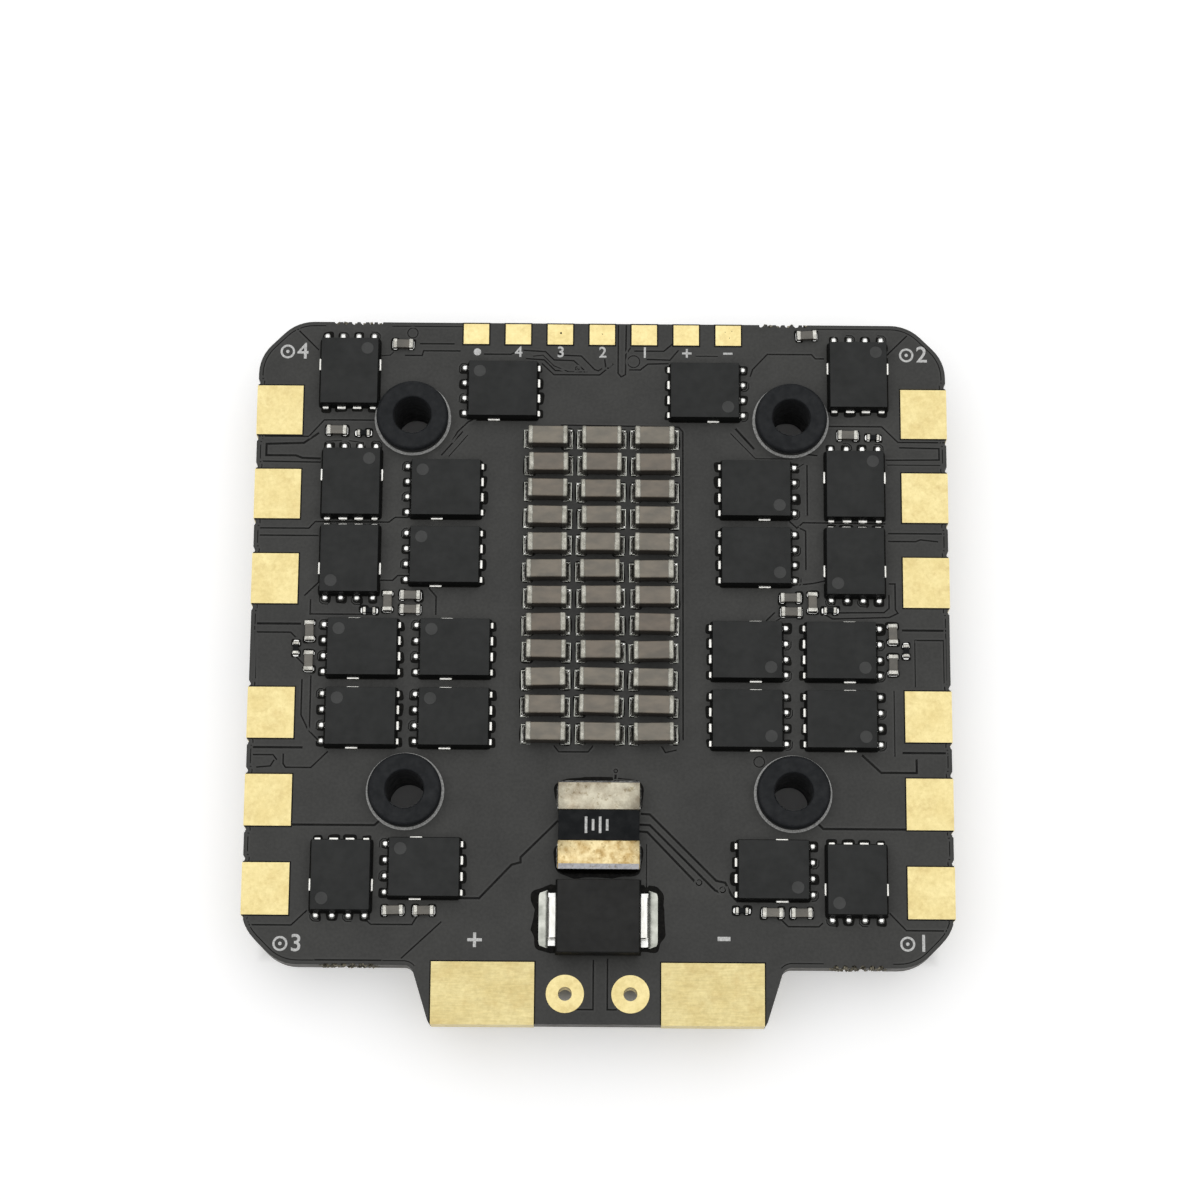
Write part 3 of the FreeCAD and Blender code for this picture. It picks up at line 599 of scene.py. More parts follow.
def ribbon(points, section, inks=None, closed=False):
    """Sweep a closed section of (offset, height) pairs along a flat line, mitring its corners."""
    line = [Vector(point) for point in points]
    count = len(line)
    rings = []
    for index, point in enumerate(line):
        back = point - line[index - 1] if index or closed else line[1] - point
        ahead = line[(index + 1) % count] - point if index < count - 1 or closed else back
        side = Vector((-back.y, back.x)).normalized()
        miter = (side + Vector((-ahead.y, ahead.x)).normalized()).normalized()
        stretch = 1 / max(0.55, miter.dot(side))
        ring = []
        for offset, height in section:
            spot = point + miter * offset * stretch
            ring.append((spot.x, spot.y, height))
        rings.append(ring)
    if closed:
        rings.append(rings[0])
    verts, faces, _ = loft(rings)
    marks = None
    if inks:
        marks = [inks[0]] + list(inks) * (len(rings) - 1) + [inks[0]]
    if closed:
        faces = faces[1:-1]
        marks = marks[1:-1] if marks else None
    return verts, faces, marks


def arc(x, y, radius, start=0.0, sweep=360.0, steps=48):
    """Points round a circle, angles in degrees."""
    made = []
    for step in range(steps + (sweep < 360)):
        turn = math.radians(start + sweep * step / steps)
        made.append((x + radius * math.cos(turn), y + radius * math.sin(turn)))
    return made


def dot(radius, sides):
    """Flat printed dot."""
    return lathe(((0.0, 0.0), (radius, 0.0), (radius, INK), (0.0, INK)), sides)


def rectangle(x, y, width, height):
    """Corners of an upright rectangle, in order."""
    left, right, low, high = x - width / 2, x + width / 2, y - height / 2, y + height / 2
    return [(left, low), (right, low), (right, high), (left, high)]


def at(x, y, z=TOP, turn=0.0):
    """Place on the board: a position, and a turn about Z in degrees."""
    return Matrix.Translation((x, y, z)) @ Matrix.Rotation(math.radians(turn), 4, "Z")


def face_of(solid_middle):
    """Height of the board face that a solid stands on, and a flip for the underside."""
    return (TOP, Matrix()) if solid_middle.z > TOP else (UNDER, FLIP)


def digit(text, height):
    """Numeral in the plain built-in face, as a thin solid standing on its middle."""
    curve = bpy.data.curves.new("numeral", "FONT")
    curve.body = text
    curve.size = height * 1.4
    curve.align_x = "CENTER"
    curve.align_y = "CENTER"
    curve.extrude = INK / 2
    curve.offset = 0.02
    source = bpy.data.objects.new("numeral", curve)
    mesh = bpy.data.meshes.new_from_object(source)
    verts = [tuple(vert.co) for vert in mesh.vertices]
    faces = [list(face.vertices) for face in mesh.polygons]
    bpy.data.objects.remove(source)
    bpy.data.curves.remove(curve)
    bpy.data.meshes.remove(mesh)
    return verts, faces, None


# ---------------------------------------------------------------- the board

# Thickness of printed ink.
INK = 0.03


def stroke_section(width):
    """A flat line of ink, or of bare laminate at a pad's edge."""
    half = 0.5 * width
    return [(half, -INK), (half, INK), (-half, INK), (-half, -INK)]


def groove_section(width):
    """An etched gap between two copper areas: two soft shoulders and a dark bottom."""
    half = width / 2
    rise = 0.014
    return (
        (half + 0.2, -0.01),
        (half + 0.08, rise * 0.8),
        (half + 0.01, rise),
        (half, 0.004),
        (-half, 0.004),
        (-half - 0.01, rise),
        (-half - 0.08, rise * 0.8),
        (-half - 0.2, -0.01),
    )


GROOVE_INKS = [MASK, MASK, MASK, GROOVE, MASK, MASK, MASK, MASK]


def groove(line, width):
    """An etched gap along a line."""
    return ribbon(line, groove_section(width), GROOVE_INKS)


# Widths of the gaps.
FAINT, PLAIN, STRONG = 0.07, 0.11, 0.17
PAD_NODES = [f"motor_{motor}_pads" for motor in range(1, 5)]
EDGE_PADS = sorted({round(middle.y, 2) for node in PAD_NODES for middle, _ in solids(node)})
# Middles of the places where the board was snapped out of its panel.
SNAPPED = ((-19.8, BOARD_HIGH.y), (14.7, BOARD_HIGH.y), (-19.4, -28.9), (20.25, -28.9))

# Gaps between the copper areas of the power side, each a width and its corners.
GAPS = (
    # motor 4 corner
    (PLAIN, ((-24.8, 22.8), (-23, 21))),
    (PLAIN, ((-14.8, 21.6), (-12, 21.6))),
    (PLAIN, ((-16, 20.6), (-14.6, 20.6), (-14.5, 21), (-11.5, 21))),
    (FAINT, ((-17.9, 20.55), (-17.2, 20.6), (-16.9, 20.9))),
    (PLAIN, ((-18.2, 15.1), (-22.4, 15.1), (-23.6, 13.7), (-27.6, 13.7))),
    (STRONG, (
        (-22.6, 11.85), (-24.1, 11.9), (-24.6, 12.1), (-27, 12.1), (-27, 13.05), (-24, 13.15), (-22.8, 14),
    )),
    (PLAIN, ((-27.3, 11.6), (-22.6, 11.55))),
    (PLAIN, ((-27.6, 6.05), (-23.4, 6.05), (-22.9, 6.6), (-17, 6.6), (-16.5, 7), (-15.5, 7))),
    (PLAIN, ((-27.4, 5.45), (-22.6, 5.45))),
    (PLAIN, ((-11.2, 14.2), (-12.9, 12.2))),
    (FAINT, ((-10.8, 13.9), (-12.3, 12.1))),
    (FAINT, ((-22.2, 13.3), (-20.6, 13.4), (-19.2, 13.2), (-19.2, 12.9))),
    (PLAIN, ((-12.1, 13.3), (-11.6, 14.2), (-10.8, 15.0), (-10.1, 15.4))),
    (FAINT, ((-11.2, 17.4), (-10.9, 16.8))),
    (FAINT, ((-5.6, 20.6), (-4.8, 20.7), (-3.9, 19.8), (-2.7, 19.3), (-1.2, 19.3))),
    (PLAIN, ((-23.6, -6.3), (-23.6, -9.2), (-22.9, -10.6))),
    (PLAIN, ((-25.6, -12.8), (-25.9, -13.3), (-27.0, -13.4))),
    # motor 2 corner
    (PLAIN, ((12, 19), (12.2, 19.6), (13.4, 20.9), (17, 20.9), (17.3, 20.55), (18, 20.55))),
    (PLAIN, ((24.8, 22.6), (23, 20.8))),
    (PLAIN, ((18.2, 14.85), (22.6, 14.85), (23.9, 13.55), (27.7, 13.55))),
    (PLAIN, ((24, 13.1), (27.2, 13.05), (27.2, 12.1), (22.9, 12.05))),
    (FAINT, ((23, 11.65), (27.5, 11.65))),
    (PLAIN, ((23, 5.95), (27.6, 5.95))),
    (PLAIN, ((15.1, 6.9), (15.7, 6.35), (16.2, 6.8), (22.8, 6.75))),
    (PLAIN, ((23, 5.3), (25.2, 5.3), (25.6, 5.45), (27, 5.3))),
    (STRONG, ((10.8, 14.6), (12.3, 12.9))),
    (FAINT, ((10.4, 14.2), (12.4, 12.1), (15.4, 12.1))),
    (PLAIN, ((16.55, 11.6), (16.55, 7.4))),
    (PLAIN, ((15.8, 12.2), (16.3, 12.5), (17.4, 12.4))),
    (FAINT, ((15.7, 11.3), (16.3, 11.7))),
    (PLAIN, ((15.8, 6.4), (16.4, 6.1), (16.4, 2.9))),
    # motor 3, inner chips and edge
    (PLAIN, ((-23.6, 0.5), (-22.5, 1.6))),
    (PLAIN, ((-17.6, 1.8), (-16.6, 1.8), (-16.2, 2.2), (-15.3, 2.2))),
    (PLAIN, ((-23.1, 0.2), (-23.1, -1), (-17.9, -1))),
    (STRONG, ((-27.4, -0.1), (-27.4, -1.8), (-23.8, -1.8))),
    (PLAIN, ((-27.3, -7), (-27.4, -2.5), (-24.6, -2.5), (-24.2, -2.9))),
    (PLAIN, ((-13.7, 1.2), (-13.1, 0.5), (-13.1, -1))),
    (PLAIN, ((-24.2, -4.4), (-23, -5.6))),
    (PLAIN, ((-22.9, -6), (-22.9, -10.5), (-22.2, -11.2))),
    (STRONG, ((-27.4, -11.8), (-23.4, -11.8))),
    (PLAIN, ((-24.9, -12.3), (-24.9, -13.1), (-24.7, -13.4), (-22.7, -13.4), (-21.4, -12.1))),
    (PLAIN, ((-27.3, -12.4), (-25.7, -12.4), (-25.4, -12.8))),
    (STRONG, ((-24.1, -17.95), (-17.6, -17.95), (-17.2, -17.6))),
    (PLAIN, ((-27.3, -25.85), (-23.9, -25.85), (-22.7, -24.7))),
    (PLAIN, ((-18, -25.5), (-17.7, -25.75), (-14.5, -25.75), (-14.1, -25.1))),
    (PLAIN, ((-22.0, -28.55), (-16.8, -28.55))),
    (PLAIN, ((-15.3, -28.4), (-12.2, -25.5))),
    (STRONG, ((-10.9, -23.65), (-9.3, -23.65), (-6.8, -21), (-6.1, -20.8), (-6.1, -20.4), (-3.2, -17.5))),
    # motor 1, inner chips and edge
    (PLAIN, ((17.9, 2.0), (17.0, 1.8), (15.3, 1.6))),
    (PLAIN, ((23, 1.8), (23.5, 1.8), (23.5, -0.3), (23.7, -0.6), (23, -0.95), (18.5, -1.1), (17.8, -0.7))),
    (PLAIN, ((19, -0.6), (22.6, -0.55), (23, -0.2), (23, 0.9))),
    (PLAIN, ((13.9, -0.6), (13.2, -1.3))),
    (FAINT, ((14, -1.3), (14.4, -1.05), (15.6, -1.0))),
    (STRONG, ((24, -2), (27.6, -2))),
    (PLAIN, ((25, -2.8), (27.3, -2.8), (27.3, -6.8))),
    (FAINT, ((25, -2.8), (25, -6.6))),
    (FAINT, ((23.3, -6.9), (23.3, -12.2))),
    (STRONG, ((23.9, -11.9), (27.6, -11.9))),
    (STRONG, ((20.7, -12.1), (22.2, -13.5), (25, -13.5), (25, -12.4))),
    (STRONG, ((27.6, -18), (17.6, -18), (17.2, -17.6))),
    (PLAIN, ((22.7, -24.6), (24, -25.95), (27.2, -25.95))),
    (PLAIN, ((14.3, -25.2), (14.8, -25.7), (17.2, -25.7), (17.5, -25.4))),
    # sense lines beside the shunt and the tab
    (STRONG, ((3.3, -16.9), (4, -16.95), (9.2, -22.15), (9.9, -22.3), (10.4, -23.3), (10.9, -23.8))),
    (STRONG, ((3, -17.75), (4, -17.8), (9.1, -22.9), (9.6, -23.1), (9.95, -22.9), (9.9, -22.6))),
    (STRONG, ((3.1, -18.3), (3.8, -18.35), (7.5, -22.2), (7.7, -22.55), (8.0, -22.5), (8.1, -22.2))),
    (FAINT, ((3.75, -19.3), (3.75, -23))),
    (PLAIN, ((-0.35, -28.4), (-0.35, -32.25), (-1.7, -32.25))),
    (PLAIN, ((0.75, -28.3), (0.75, -32.25), (1.5, -32.25))),
    (STRONG, ((1.25, -14.5), (1.3, -13.7))),
    (PLAIN, ((-3.0, -14.55), (0.9, -14.5), (1.25, -14.3), (2.9, -14.4))),
    # signal traces
    (PLAIN, ((-9.6, 20.75), (-7.4, 20.75), (-7.1, 20.9))),
    (PLAIN, ((-6.4, 21.1), (-4.6, 21.0), (-3.9, 20.3), (-2.3, 20.25), (-1.5, 19.5), (-1.4, 19.2))),
    (PLAIN, ((-6.2, 20.4), (-4.7, 20.3), (-3.8, 19.4), (-2.3, 19.35), (-2.1, 19.55))),
    (PLAIN, ((-3.6, 20.9), (-3.1, 20.7), (-1.7, 20.65), (-0.6, 19.5), (-0.3, 19.4), (0, 19.6))),
    (PLAIN, ((-4.9, 20.0), (-3.9, 19.05), (-0.2, 19.05), (0.9, 20.0))),
    (PLAIN, ((0.2, 20.4), (0.3, 19.7), (0.6, 19.6), (0.9, 19.9))),
    (PLAIN, ((1.3, 23.3), (1.3, 19.2), (1.55, 18.9), (1.9, 19.1), (1.95, 23.3))),
    (PLAIN, ((2.3, 21.4), (1.95, 20.8))),
    (PLAIN, ((2.2, 19.5), (3.1, 19.5), (3.7, 20.0), (5.4, 20.05))),
    (PLAIN, ((2.6, 21.1), (5.0, 21.1), (5.8, 21.8))),
    (PLAIN, ((3.6, 20.4), (5.5, 20.35), (6.2, 21.2))),
    (FAINT, ((7.6, 20.7), (9.4, 20.7))),
    # outline of the capacitor bank
    (PLAIN, ((-3.3, 14.8), (6.2, 14.7), (6.55, 14.3), (6.6, -11))),
    (PLAIN, ((-3.6, -11.5), (-3.2, -12), (-0.9, -12), (-0.5, -11.5))),
    (PLAIN, ((4.9, -11.5), (5.2, -12), (6.1, -11.8))),
)
# Small tented vias whose clearance shows as a ring: x, y and radius.
VIAS = (
    (-15.4, 22.5, 0.42),
    (12.6, -12.7, 0.42),
    (1.3, -13.5, 0.14),
    (2.55, 20.2, 0.5),
    (-2.0, 19.6, 0.16),
    (9.7, -22.85, 0.22),
    (7.85, -22.3, 0.22),
)


def outline():
    """Points round the board's outer edge, in order and 0.25 mm or less apart."""
    mesh = joined_mesh("circuit_board")
    after = {}
    for face in mesh.faces:
        if face.normal.z > 0.9:
            for loop in face.loops:
                others = [other for other in loop.edge.link_faces if other is not face]
                if not others or others[0].normal.z < 0.9:
                    after[loop.vert.index] = loop.link_loop_next.vert
    mesh.verts.ensure_lookup_table()
    first = max(mesh.verts, key=lambda vert: (round(vert.co.z, 6), vert.co.x))
    rim = []
    vert = first
    while not rim or vert is not first:
        rim.append(vert.co.xy / MM)
        vert = after[vert.index]
    mesh.free()
    points = []
    for here, there in zip(rim, rim[1:] + rim[:1]):
        count = max(1, math.ceil((there - here).length / 0.25))
        points += [here.lerp(there, step / count) for step in range(count)]
    return points


def rim_lines(inset):
    """Lines a little inside the board's outline, broken at the pads and the snapped tabs."""
    points = outline()
    spans = [[]]
    for index, point in enumerate(points):
        ahead = points[(index + 3) % len(points)] - points[index - 3]
        inward = Vector((-ahead.y, ahead.x)).normalized()
        place = point + inward * inset
        at_pad = abs(point.x) > 23 and any(abs(point.y - y) < 2.2 for y in EDGE_PADS)
        at_tab = any(abs(point.x - x) < 2.6 and abs(point.y - y) < 1 for x, y in SNAPPED)
        if at_pad or at_tab or point.y < -29.2 or (point.y > 23.2 and abs(point.x) < 11):
            spans.append([])
        else:
            spans[-1].append(place)
    lines = []
    for span in spans:
        if len(span) > 8:
            kept = [span[0]]
            for point, there in zip(span[1:], span[2:]):
                if (point - kept[-1]).normalized().dot((there - point).normalized()) < 0.9995:
                    kept.append(point)
            lines.append(kept + [span[-1]])
    return lines


def copper_relief():
    """Relief of the copper under the mask, on both faces of the board."""
    build = Build("copper_relief", [MASK, GROOVE], "solder_mask")
    top, below = at(0, 0), at(0, 0, UNDER)
    for place, gaps, vias, steps in ((top, GAPS, VIAS, 24), (below @ FLIP, UNDER_GAPS, UNDER_VIAS, 20)):
        for width, corners in gaps:
            build.add(groove(corners, width), place)
        for x, y, radius in vias:
            build.add(groove(arc(x, y, radius, 20, 359.9, steps), FAINT), place)
    for line in rim_lines(0.33):
        build.add(groove(line, FAINT), top)
        build.add(groove(line, FAINT), below @ Matrix.Diagonal((1, 1, -1, 1)))
    build.finish()


# Gaps of the underside, whose Y runs towards the battery tab. One half; the other is its mirror.
UNDER_HALF = (
    # from each controller to its gate driver
    (PLAIN, ((12.4, 9.2), (14.0, 9.2), (15.2, 8.6), (17.5, 8.6))),
    (PLAIN, ((12.4, 10.2), (13.8, 10.2), (15.6, 9.4), (17.5, 9.4))),
    (FAINT, ((12.4, 6.2), (13.4, 6.2), (14.4, 5.2), (18.6, 5.2))),
    (PLAIN, ((12.4, -7.0), (17.5, -7.0))),
    (PLAIN, ((12.4, -6.2), (14.4, -6.2), (15.0, -6.6), (17.5, -6.6))),
    (FAINT, ((12.4, -9.6), (14.6, -9.6), (15.6, -10.6), (18.4, -10.6))),
    # from the socket to the controllers
    (PLAIN, ((0.5, -18.4), (0.5, -13.2), (2.3, -11.4), (2.3, 3.4), (5.0, 6.1), (7.0, 6.1))),
    (PLAIN, ((1.5, -18.4), (1.5, -13.6), (3.1, -12.0), (3.1, 2.9), (5.4, 5.2), (7.0, 5.2))),
    (PLAIN, ((2.5, -18.4), (2.5, -14.0), (3.9, -12.6), (3.9, -9.2), (4.6, -8.5), (7.0, -8.5))),
    (PLAIN, ((3.5, -18.4), (3.5, -15.0), (4.7, -13.8), (4.7, -9.8), (5.1, -9.4), (7.0, -9.4))),
    (FAINT, ((7.4, -12.0), (7.4, -13.4), (5.9, -14.9), (5.9, -17.2))),
    # round the copper that feeds each motor pad
    (STRONG, ((27.5, 12.4), (23.4, 12.4), (22.6, 13.2), (12.6, 13.2))),
    (PLAIN, ((27.5, 19.6), (23.6, 19.6), (22.4, 18.4), (18.6, 18.4))),
    (PLAIN, ((27.5, -1.8), (24.2, -1.8), (23.0, -3.0), (23.0, -4.6))),
    (PLAIN, (
        (27.5, 2.0), (24.2, 2.0), (22.6, 3.6), (15.4, 3.6), (14.4, 2.6), (14.4, -2.4), (13.2, -3.6),
    )),
    (STRONG, ((27.5, -13.2), (23.4, -13.2), (22.6, -12.4), (13.0, -12.4))),
    (PLAIN, ((27.5, -5.6), (24.4, -5.6), (23.4, -6.6))),
    # the copper of the battery
    (STRONG, ((13.8, 28.4), (10.8, 25.4), (7.6, 25.4), (6.6, 24.4), (6.6, 21.8))),
    (PLAIN, ((0.7, 32.6), (0.7, 21.6), (1.5, 20.8), (3.0, 20.8))),
    (FAINT, ((9.8, 3.4), (9.8, -3.2))),
)
UNDER_GAPS = tuple(
    (width, tuple((side * x, y) for x, y in corners)) for side in SIDES for width, corners in UNDER_HALF
)
# Tented vias of the underside: x, y and radius.
UNDER_VIAS = tuple(
    (side * x, y, 0.26)
    for side in SIDES
    for x, y in (
        (18.6, 5.9), (13.4, 7.4), (14.2, -8.3), (18.6, -11.4), (5.9, -17.8), (13.1, -4.3), (9.8, 2.7),
        (11.2, 1.8), (8.4, 1.8), (11.2, -2.4), (8.4, -2.4), (6.6, 14.6), (8.0, 14.6), (9.4, 14.6),
        (22.0, -15.2), (22.0, 15.6), (20.6, 15.6), (20.6, -15.2), (1.6, -8.2), (1.2, 9.6), (1.2, 11.0),
    )
)


def pad_outlines():
    """Dark step where the mask stops short of each motor, battery and signal pad."""
    build = Build("pad_outlines", [GROOVE], "solder_mask")
    edge, gap = stroke_section(0.12), 0.04
    for node in PAD_NODES:
        for middle, size in solids(node):
            side = math.copysign(1, middle.x)
            outer = side * BOARD_HIGH.x
            inner = middle.x - side * (size.x / 2 + gap)
            half = size.y / 2 + gap
            line = [(outer, middle.y - half), (inner, middle.y - half)]
            line += [(inner, middle.y + half), (outer, middle.y + half)]
            for z in (TOP, UNDER):
                build.add(ribbon(line, edge), at(0, 0, z))
    for node in ("battery_positive_pad", "battery_negative_pad"):
        low, high = limits(node)
        left, right, inner = low.x - gap, high.x + gap, high.y + gap
        line = [(left, BOARD_LOW.y), (left, inner), (right, inner), (right, BOARD_LOW.y)]
        for z in (TOP, UNDER):
            build.add(ribbon(line, edge), at(0, 0, z))
    for middle, size in solids("signal_pads"):
        box = rectangle(middle.x, middle.y, size.x + 0.1, size.y + 0.1)
        build.add(ribbon(box, edge, closed=True), at(0, 0))
    build.finish()


def torn_edges():
    """Ragged stubs of glass fibre where the board was snapped out of its panel."""
    build = Build("torn_edges", [FIBRE], "solder_mask")
    for middle, edge in SNAPPED:
        out = math.copysign(1, edge)
        for index in range(170):
            x = middle + dice.uniform(-2.3, 2.3)
            reach = dice.uniform(0.04, 0.13)
            width = dice.uniform(0.05, 0.34)
            tall = dice.uniform(0.08, 0.5)
            low = UNDER + dice.uniform(0.05, 1.97 - tall)
            depth = dice.uniform(0.0, 0.26)
            sliver = block((width, 2 * reach, tall), 0.02, 1, spare_base=False)
            build.add(sliver, at(x, edge - out * depth, low, dice.uniform(-40, 40)))
    build.finish()


def pad_specks():
    """Specks of flux on the signal pads."""
    build = Build("pad_specks", [FLUX_AND_PAINTED_SHADE], "solder_mask")
    pads = [middle for middle, _ in solids("signal_pads")]
    _, high = limits("signal_pads")
    for pad, x, y, radius in (
        (2, 0.05, 0.12, 0.09),
        (3, 0.0, 0.06, 0.045),
        (6, -0.25, 0.3, 0.04),
        (6, 0.3, 0.36, 0.035),
        (6, 0.1, -0.2, 0.04),
    ):
        disc = ((0.0, 0.0), (radius, 0.0), (radius * 0.7, 0.018), (0.0, 0.022))
        build.add(lathe(disc, 20), at(pads[pad].x + x, pads[pad].y + y, high.z - 0.004))
    build.finish()


def plus(build, x, y, reach, width):
    """Plus sign of one bar and two short arms."""
    section = stroke_section(width)
    build.add(ribbon(((-reach, 0), (reach, 0)), section), at(x, y))
    for side in SIDES:
        build.add(ribbon(((0, side * width / 2), (0, side * reach)), section), at(x, y))


def print_marks():
    """Printed rings, motor numbers, signal marks and battery signs."""
    build = Build("printed_marks", [WHITE_INK, GREY_INK], "solder_mask")
    bold, fine = stroke_section(0.33), stroke_section(0.22)
    for motor, x, y in ((4, -24.9, 20.85), (2, 25.3, 20.9), (3, -24.1, -27.3), (1, 24.7, -27.0)):
        build.add(ribbon(arc(x - 0.62, y, 0.5, steps=32), stroke_section(0.17), closed=True), at(0, 0))
        build.add(dot(0.14, 20), at(x - 0.62, y))
        build.add(digit(str(motor), 1.35), at(x + 0.62, y))
    pads = [middle.x for middle, _ in solids("signal_pads")]
    row = 20.93
    for x, text in zip(pads[1:5], "4321"):
        build.add(digit(text, 0.9), at(x + 0.05, row))
    build.add(dot(0.3, 24), at(pads[0] + 0.1, row))
    small = stroke_section(0.17)
    plus(build, pads[5] + 0.05, row, 0.38, 0.17)
    build.add(ribbon(((-0.38, 0), (0.38, 0)), small), at(pads[6] - 0.03, row))
    plus(build, -9.6, -26.9, 0.57, 0.24)
    build.add(ribbon(((-0.5, 0), (0.5, 0)), bold), at(9.8, -26.7))
    for motor in range(1, 5):
        middle, _ = extent(f"motor_{motor}_grommet")
        circle = arc(middle.x, middle.y, 2.97, steps=96)
        build.add(ribbon(circle, fine, [GREY_INK] * 4, closed=True), at(0, 0))
    build.finish()


# ---------------------------------------------------------------- transistors and their solder


def owners(motor):
    """Middle of each of a motor's transistors, and which way its gate side points."""
    leads = solids(f"motor_{motor}_transistor_leads")
    made = {}
    for index in range(1, 7):
        name = f"motor_{motor}_transistor_{index}"
        middle, whole = extent(name)
        half = whole / 2
        long_axis = 0 if half.x > half.y else 1
        own = []
        for spot, size in leads:
            gap = [abs(spot[axis] - middle[axis]) - half[axis] for axis in (0, 1)]
            if max(gap) < 0.3:
                own.append((spot, size))
        thin = [spot for spot, size in own if size[long_axis] > 0.4 and size[1 - long_axis] < 0.5]
        gates = [spot - middle for spot in thin]
        gates = [gap for gap in gates if abs(gap[long_axis]) > half[long_axis]]
        way = math.copysign(1, sum(gap[long_axis] for gap in gates))
        turn = math.degrees(math.atan2(*((0, way) if long_axis else (way, 0))))
        made[name] = (middle, -turn, own, whole)
    return made


def transistors(motor):
    """Cases of a motor's six transistors, and their leads, flux and solder."""
    joints = Build(f"motor_{motor}_solder", [SOLDER, LEAD, FLUX_AND_PAINTED_SHADE, MASK, GROOVE, FOOT], "tinned_leads")
    for name, (middle, turn, leads, size) in owners(motor).items():
        width, length = sorted((size.x, size.y))
        spot = at(middle.x, middle.y, TOP, turn)
        case = Build(f"{name}_case", [MOULD, MARK], "transistor_mould")
        case.add(block((width, length, size.z), 0.05, 2, draft=0.11), spot)
        mark = spot @ at(width / 2 - 0.98, length / 2 - 0.98, size.z - 0.004)
        dimple = ((0.0, 0.0), (0.5, 0.0), (0.485, 0.014), (0.46, 0.008), (0.0, 0.006))
        case.add(lathe(dimple, 40), mark, MARK)
        case.finish(name)
        # Skirt of dark flux round the case's foot, which is also a painted contact shadow.
        joints.add(dome(width + 0.18, length + 0.18, 0.012, 2, 48, 24.0), spot, FLUX_AND_PAINTED_SHADE)
        inside = spot.inverted()
        own = [inside @ Vector((lead.x, lead.y, TOP)) for lead, _ in leads]
        for local in own:
            solder_lead(joints, spot, local, width, length)
        gate_hooks(joints, spot, own, length)
    joints.finish(f"motor_{motor}_transistor_leads")


def gate_hooks(joints, spot, leads, length):
    """Etched gaps that curl round two of the gate side leads."""
    ends = sorted(local.x for local in leads if local.y > length / 2)
    for x in (ends[1], ends[-1]):
        y = length / 2 + dice.uniform(0.5, 0.6)
        line = [(x + 0.45, y - 0.35), (x + 0.42, y - 0.05), (x + 0.2, y + 0.14), (x - 0.25, y + 0.16)]
        joints.add(groove(line, FAINT), spot)


def solder_lead(joints, spot, local, width, length):
    """Flux, metal and solder of one lead: a gate side lead, a drain tab or a tie tab."""
    jitter = dice.uniform(0.88, 1.12)
    if local.y > length / 2:
        edge = spot @ at(local.x, length / 2, 0)
        joints.add(blot(0.84, 0.86, 0.014, 0.16, 2, 28), edge @ at(0, 0.26, 0), FLUX_AND_PAINTED_SHADE)
        joints.add(block((0.4, 0.36, 0.2), 0.03), edge @ at(0, 0.1, 0), LEAD)
        joints.add(dome(0.58, 0.66, 0.34 * jitter, square=2.3), edge @ at(0, 0.22, 0), SOLDER)
    elif local.y < -length / 2:
        edge = spot @ at(local.x, -length / 2, 0)
        wide = 0.72 if abs(local.x) < 1 else 0.5
        joints.add(blot(wide + 0.26, 0.62, 0.014, 0.2, 2, 28), edge @ at(0, -0.1, 0), FLUX_AND_PAINTED_SHADE)
        joints.add(block((wide - 0.04, 0.3, 0.22), 0.03), edge, LEAD)
        joints.add(dome(wide, 0.36 * jitter, 0.2, square=5.0), edge @ at(0, -0.04, 0), SOLDER)
    else:
        side = math.copysign(1, local.x)
        x = side * width / 2
        joints.add(block((0.2, 0.95, 0.24), 0.03), spot @ at(x, local.y, 0), LEAD)
        joints.add(dome(0.26, 0.46, 0.16), spot @ at(x + side * 0.04, local.y - 0.26, 0), FOOT)
        joints.add(dome(0.2, 0.36, 0.2 * jitter), spot @ at(x + side * 0.06, local.y + 0.28, 0), SOLDER)


# ---------------------------------------------------------------- capacitors and small chips


def land(joints, spot, width, height):
    """A soldered land with its dark rim of flux."""
    joints.add(blot(width + 0.3, height + 0.34, 0.012, 0.12, 2, 28), spot, FLUX_AND_PAINTED_SHADE)
    joints.add(dome(width, height, 0.035, 3, 24, 6.0), spot, SOLDER)


def framed_land(joints, spot, inner, outer, width):
    """A land seen as a bright line round a dark fillet, its solder gathered in the corners."""
    middle, length = (inner + outer) / 2, outer - inner
    joints.add(blot(length + 0.28, width + 0.26, 0.012, 0.12, 2, 32), spot @ at(middle, 0, 0), FLUX_AND_PAINTED_SHADE)
    half = width / 2
    line = ((inner + 0.1, -half), (outer, -half), (outer, half), (inner + 0.1, half))
    joints.add(ribbon(line, stroke_section(dice.uniform(0.035, 0.06))), spot @ at(0, 0, 0.012), FOOT)
    for side in SIDES:
        tall = dice.uniform(0.06, 0.2)
        lump = dome(dice.uniform(0.12, 0.3), dice.uniform(0.12, 0.24), tall, 4, 14)
        corner = spot @ at(outer - 0.1, side * (half - 0.08), 0)
        joints.add(lump, corner, dice.choice((SOLDER, SOLDER, FILLET)))


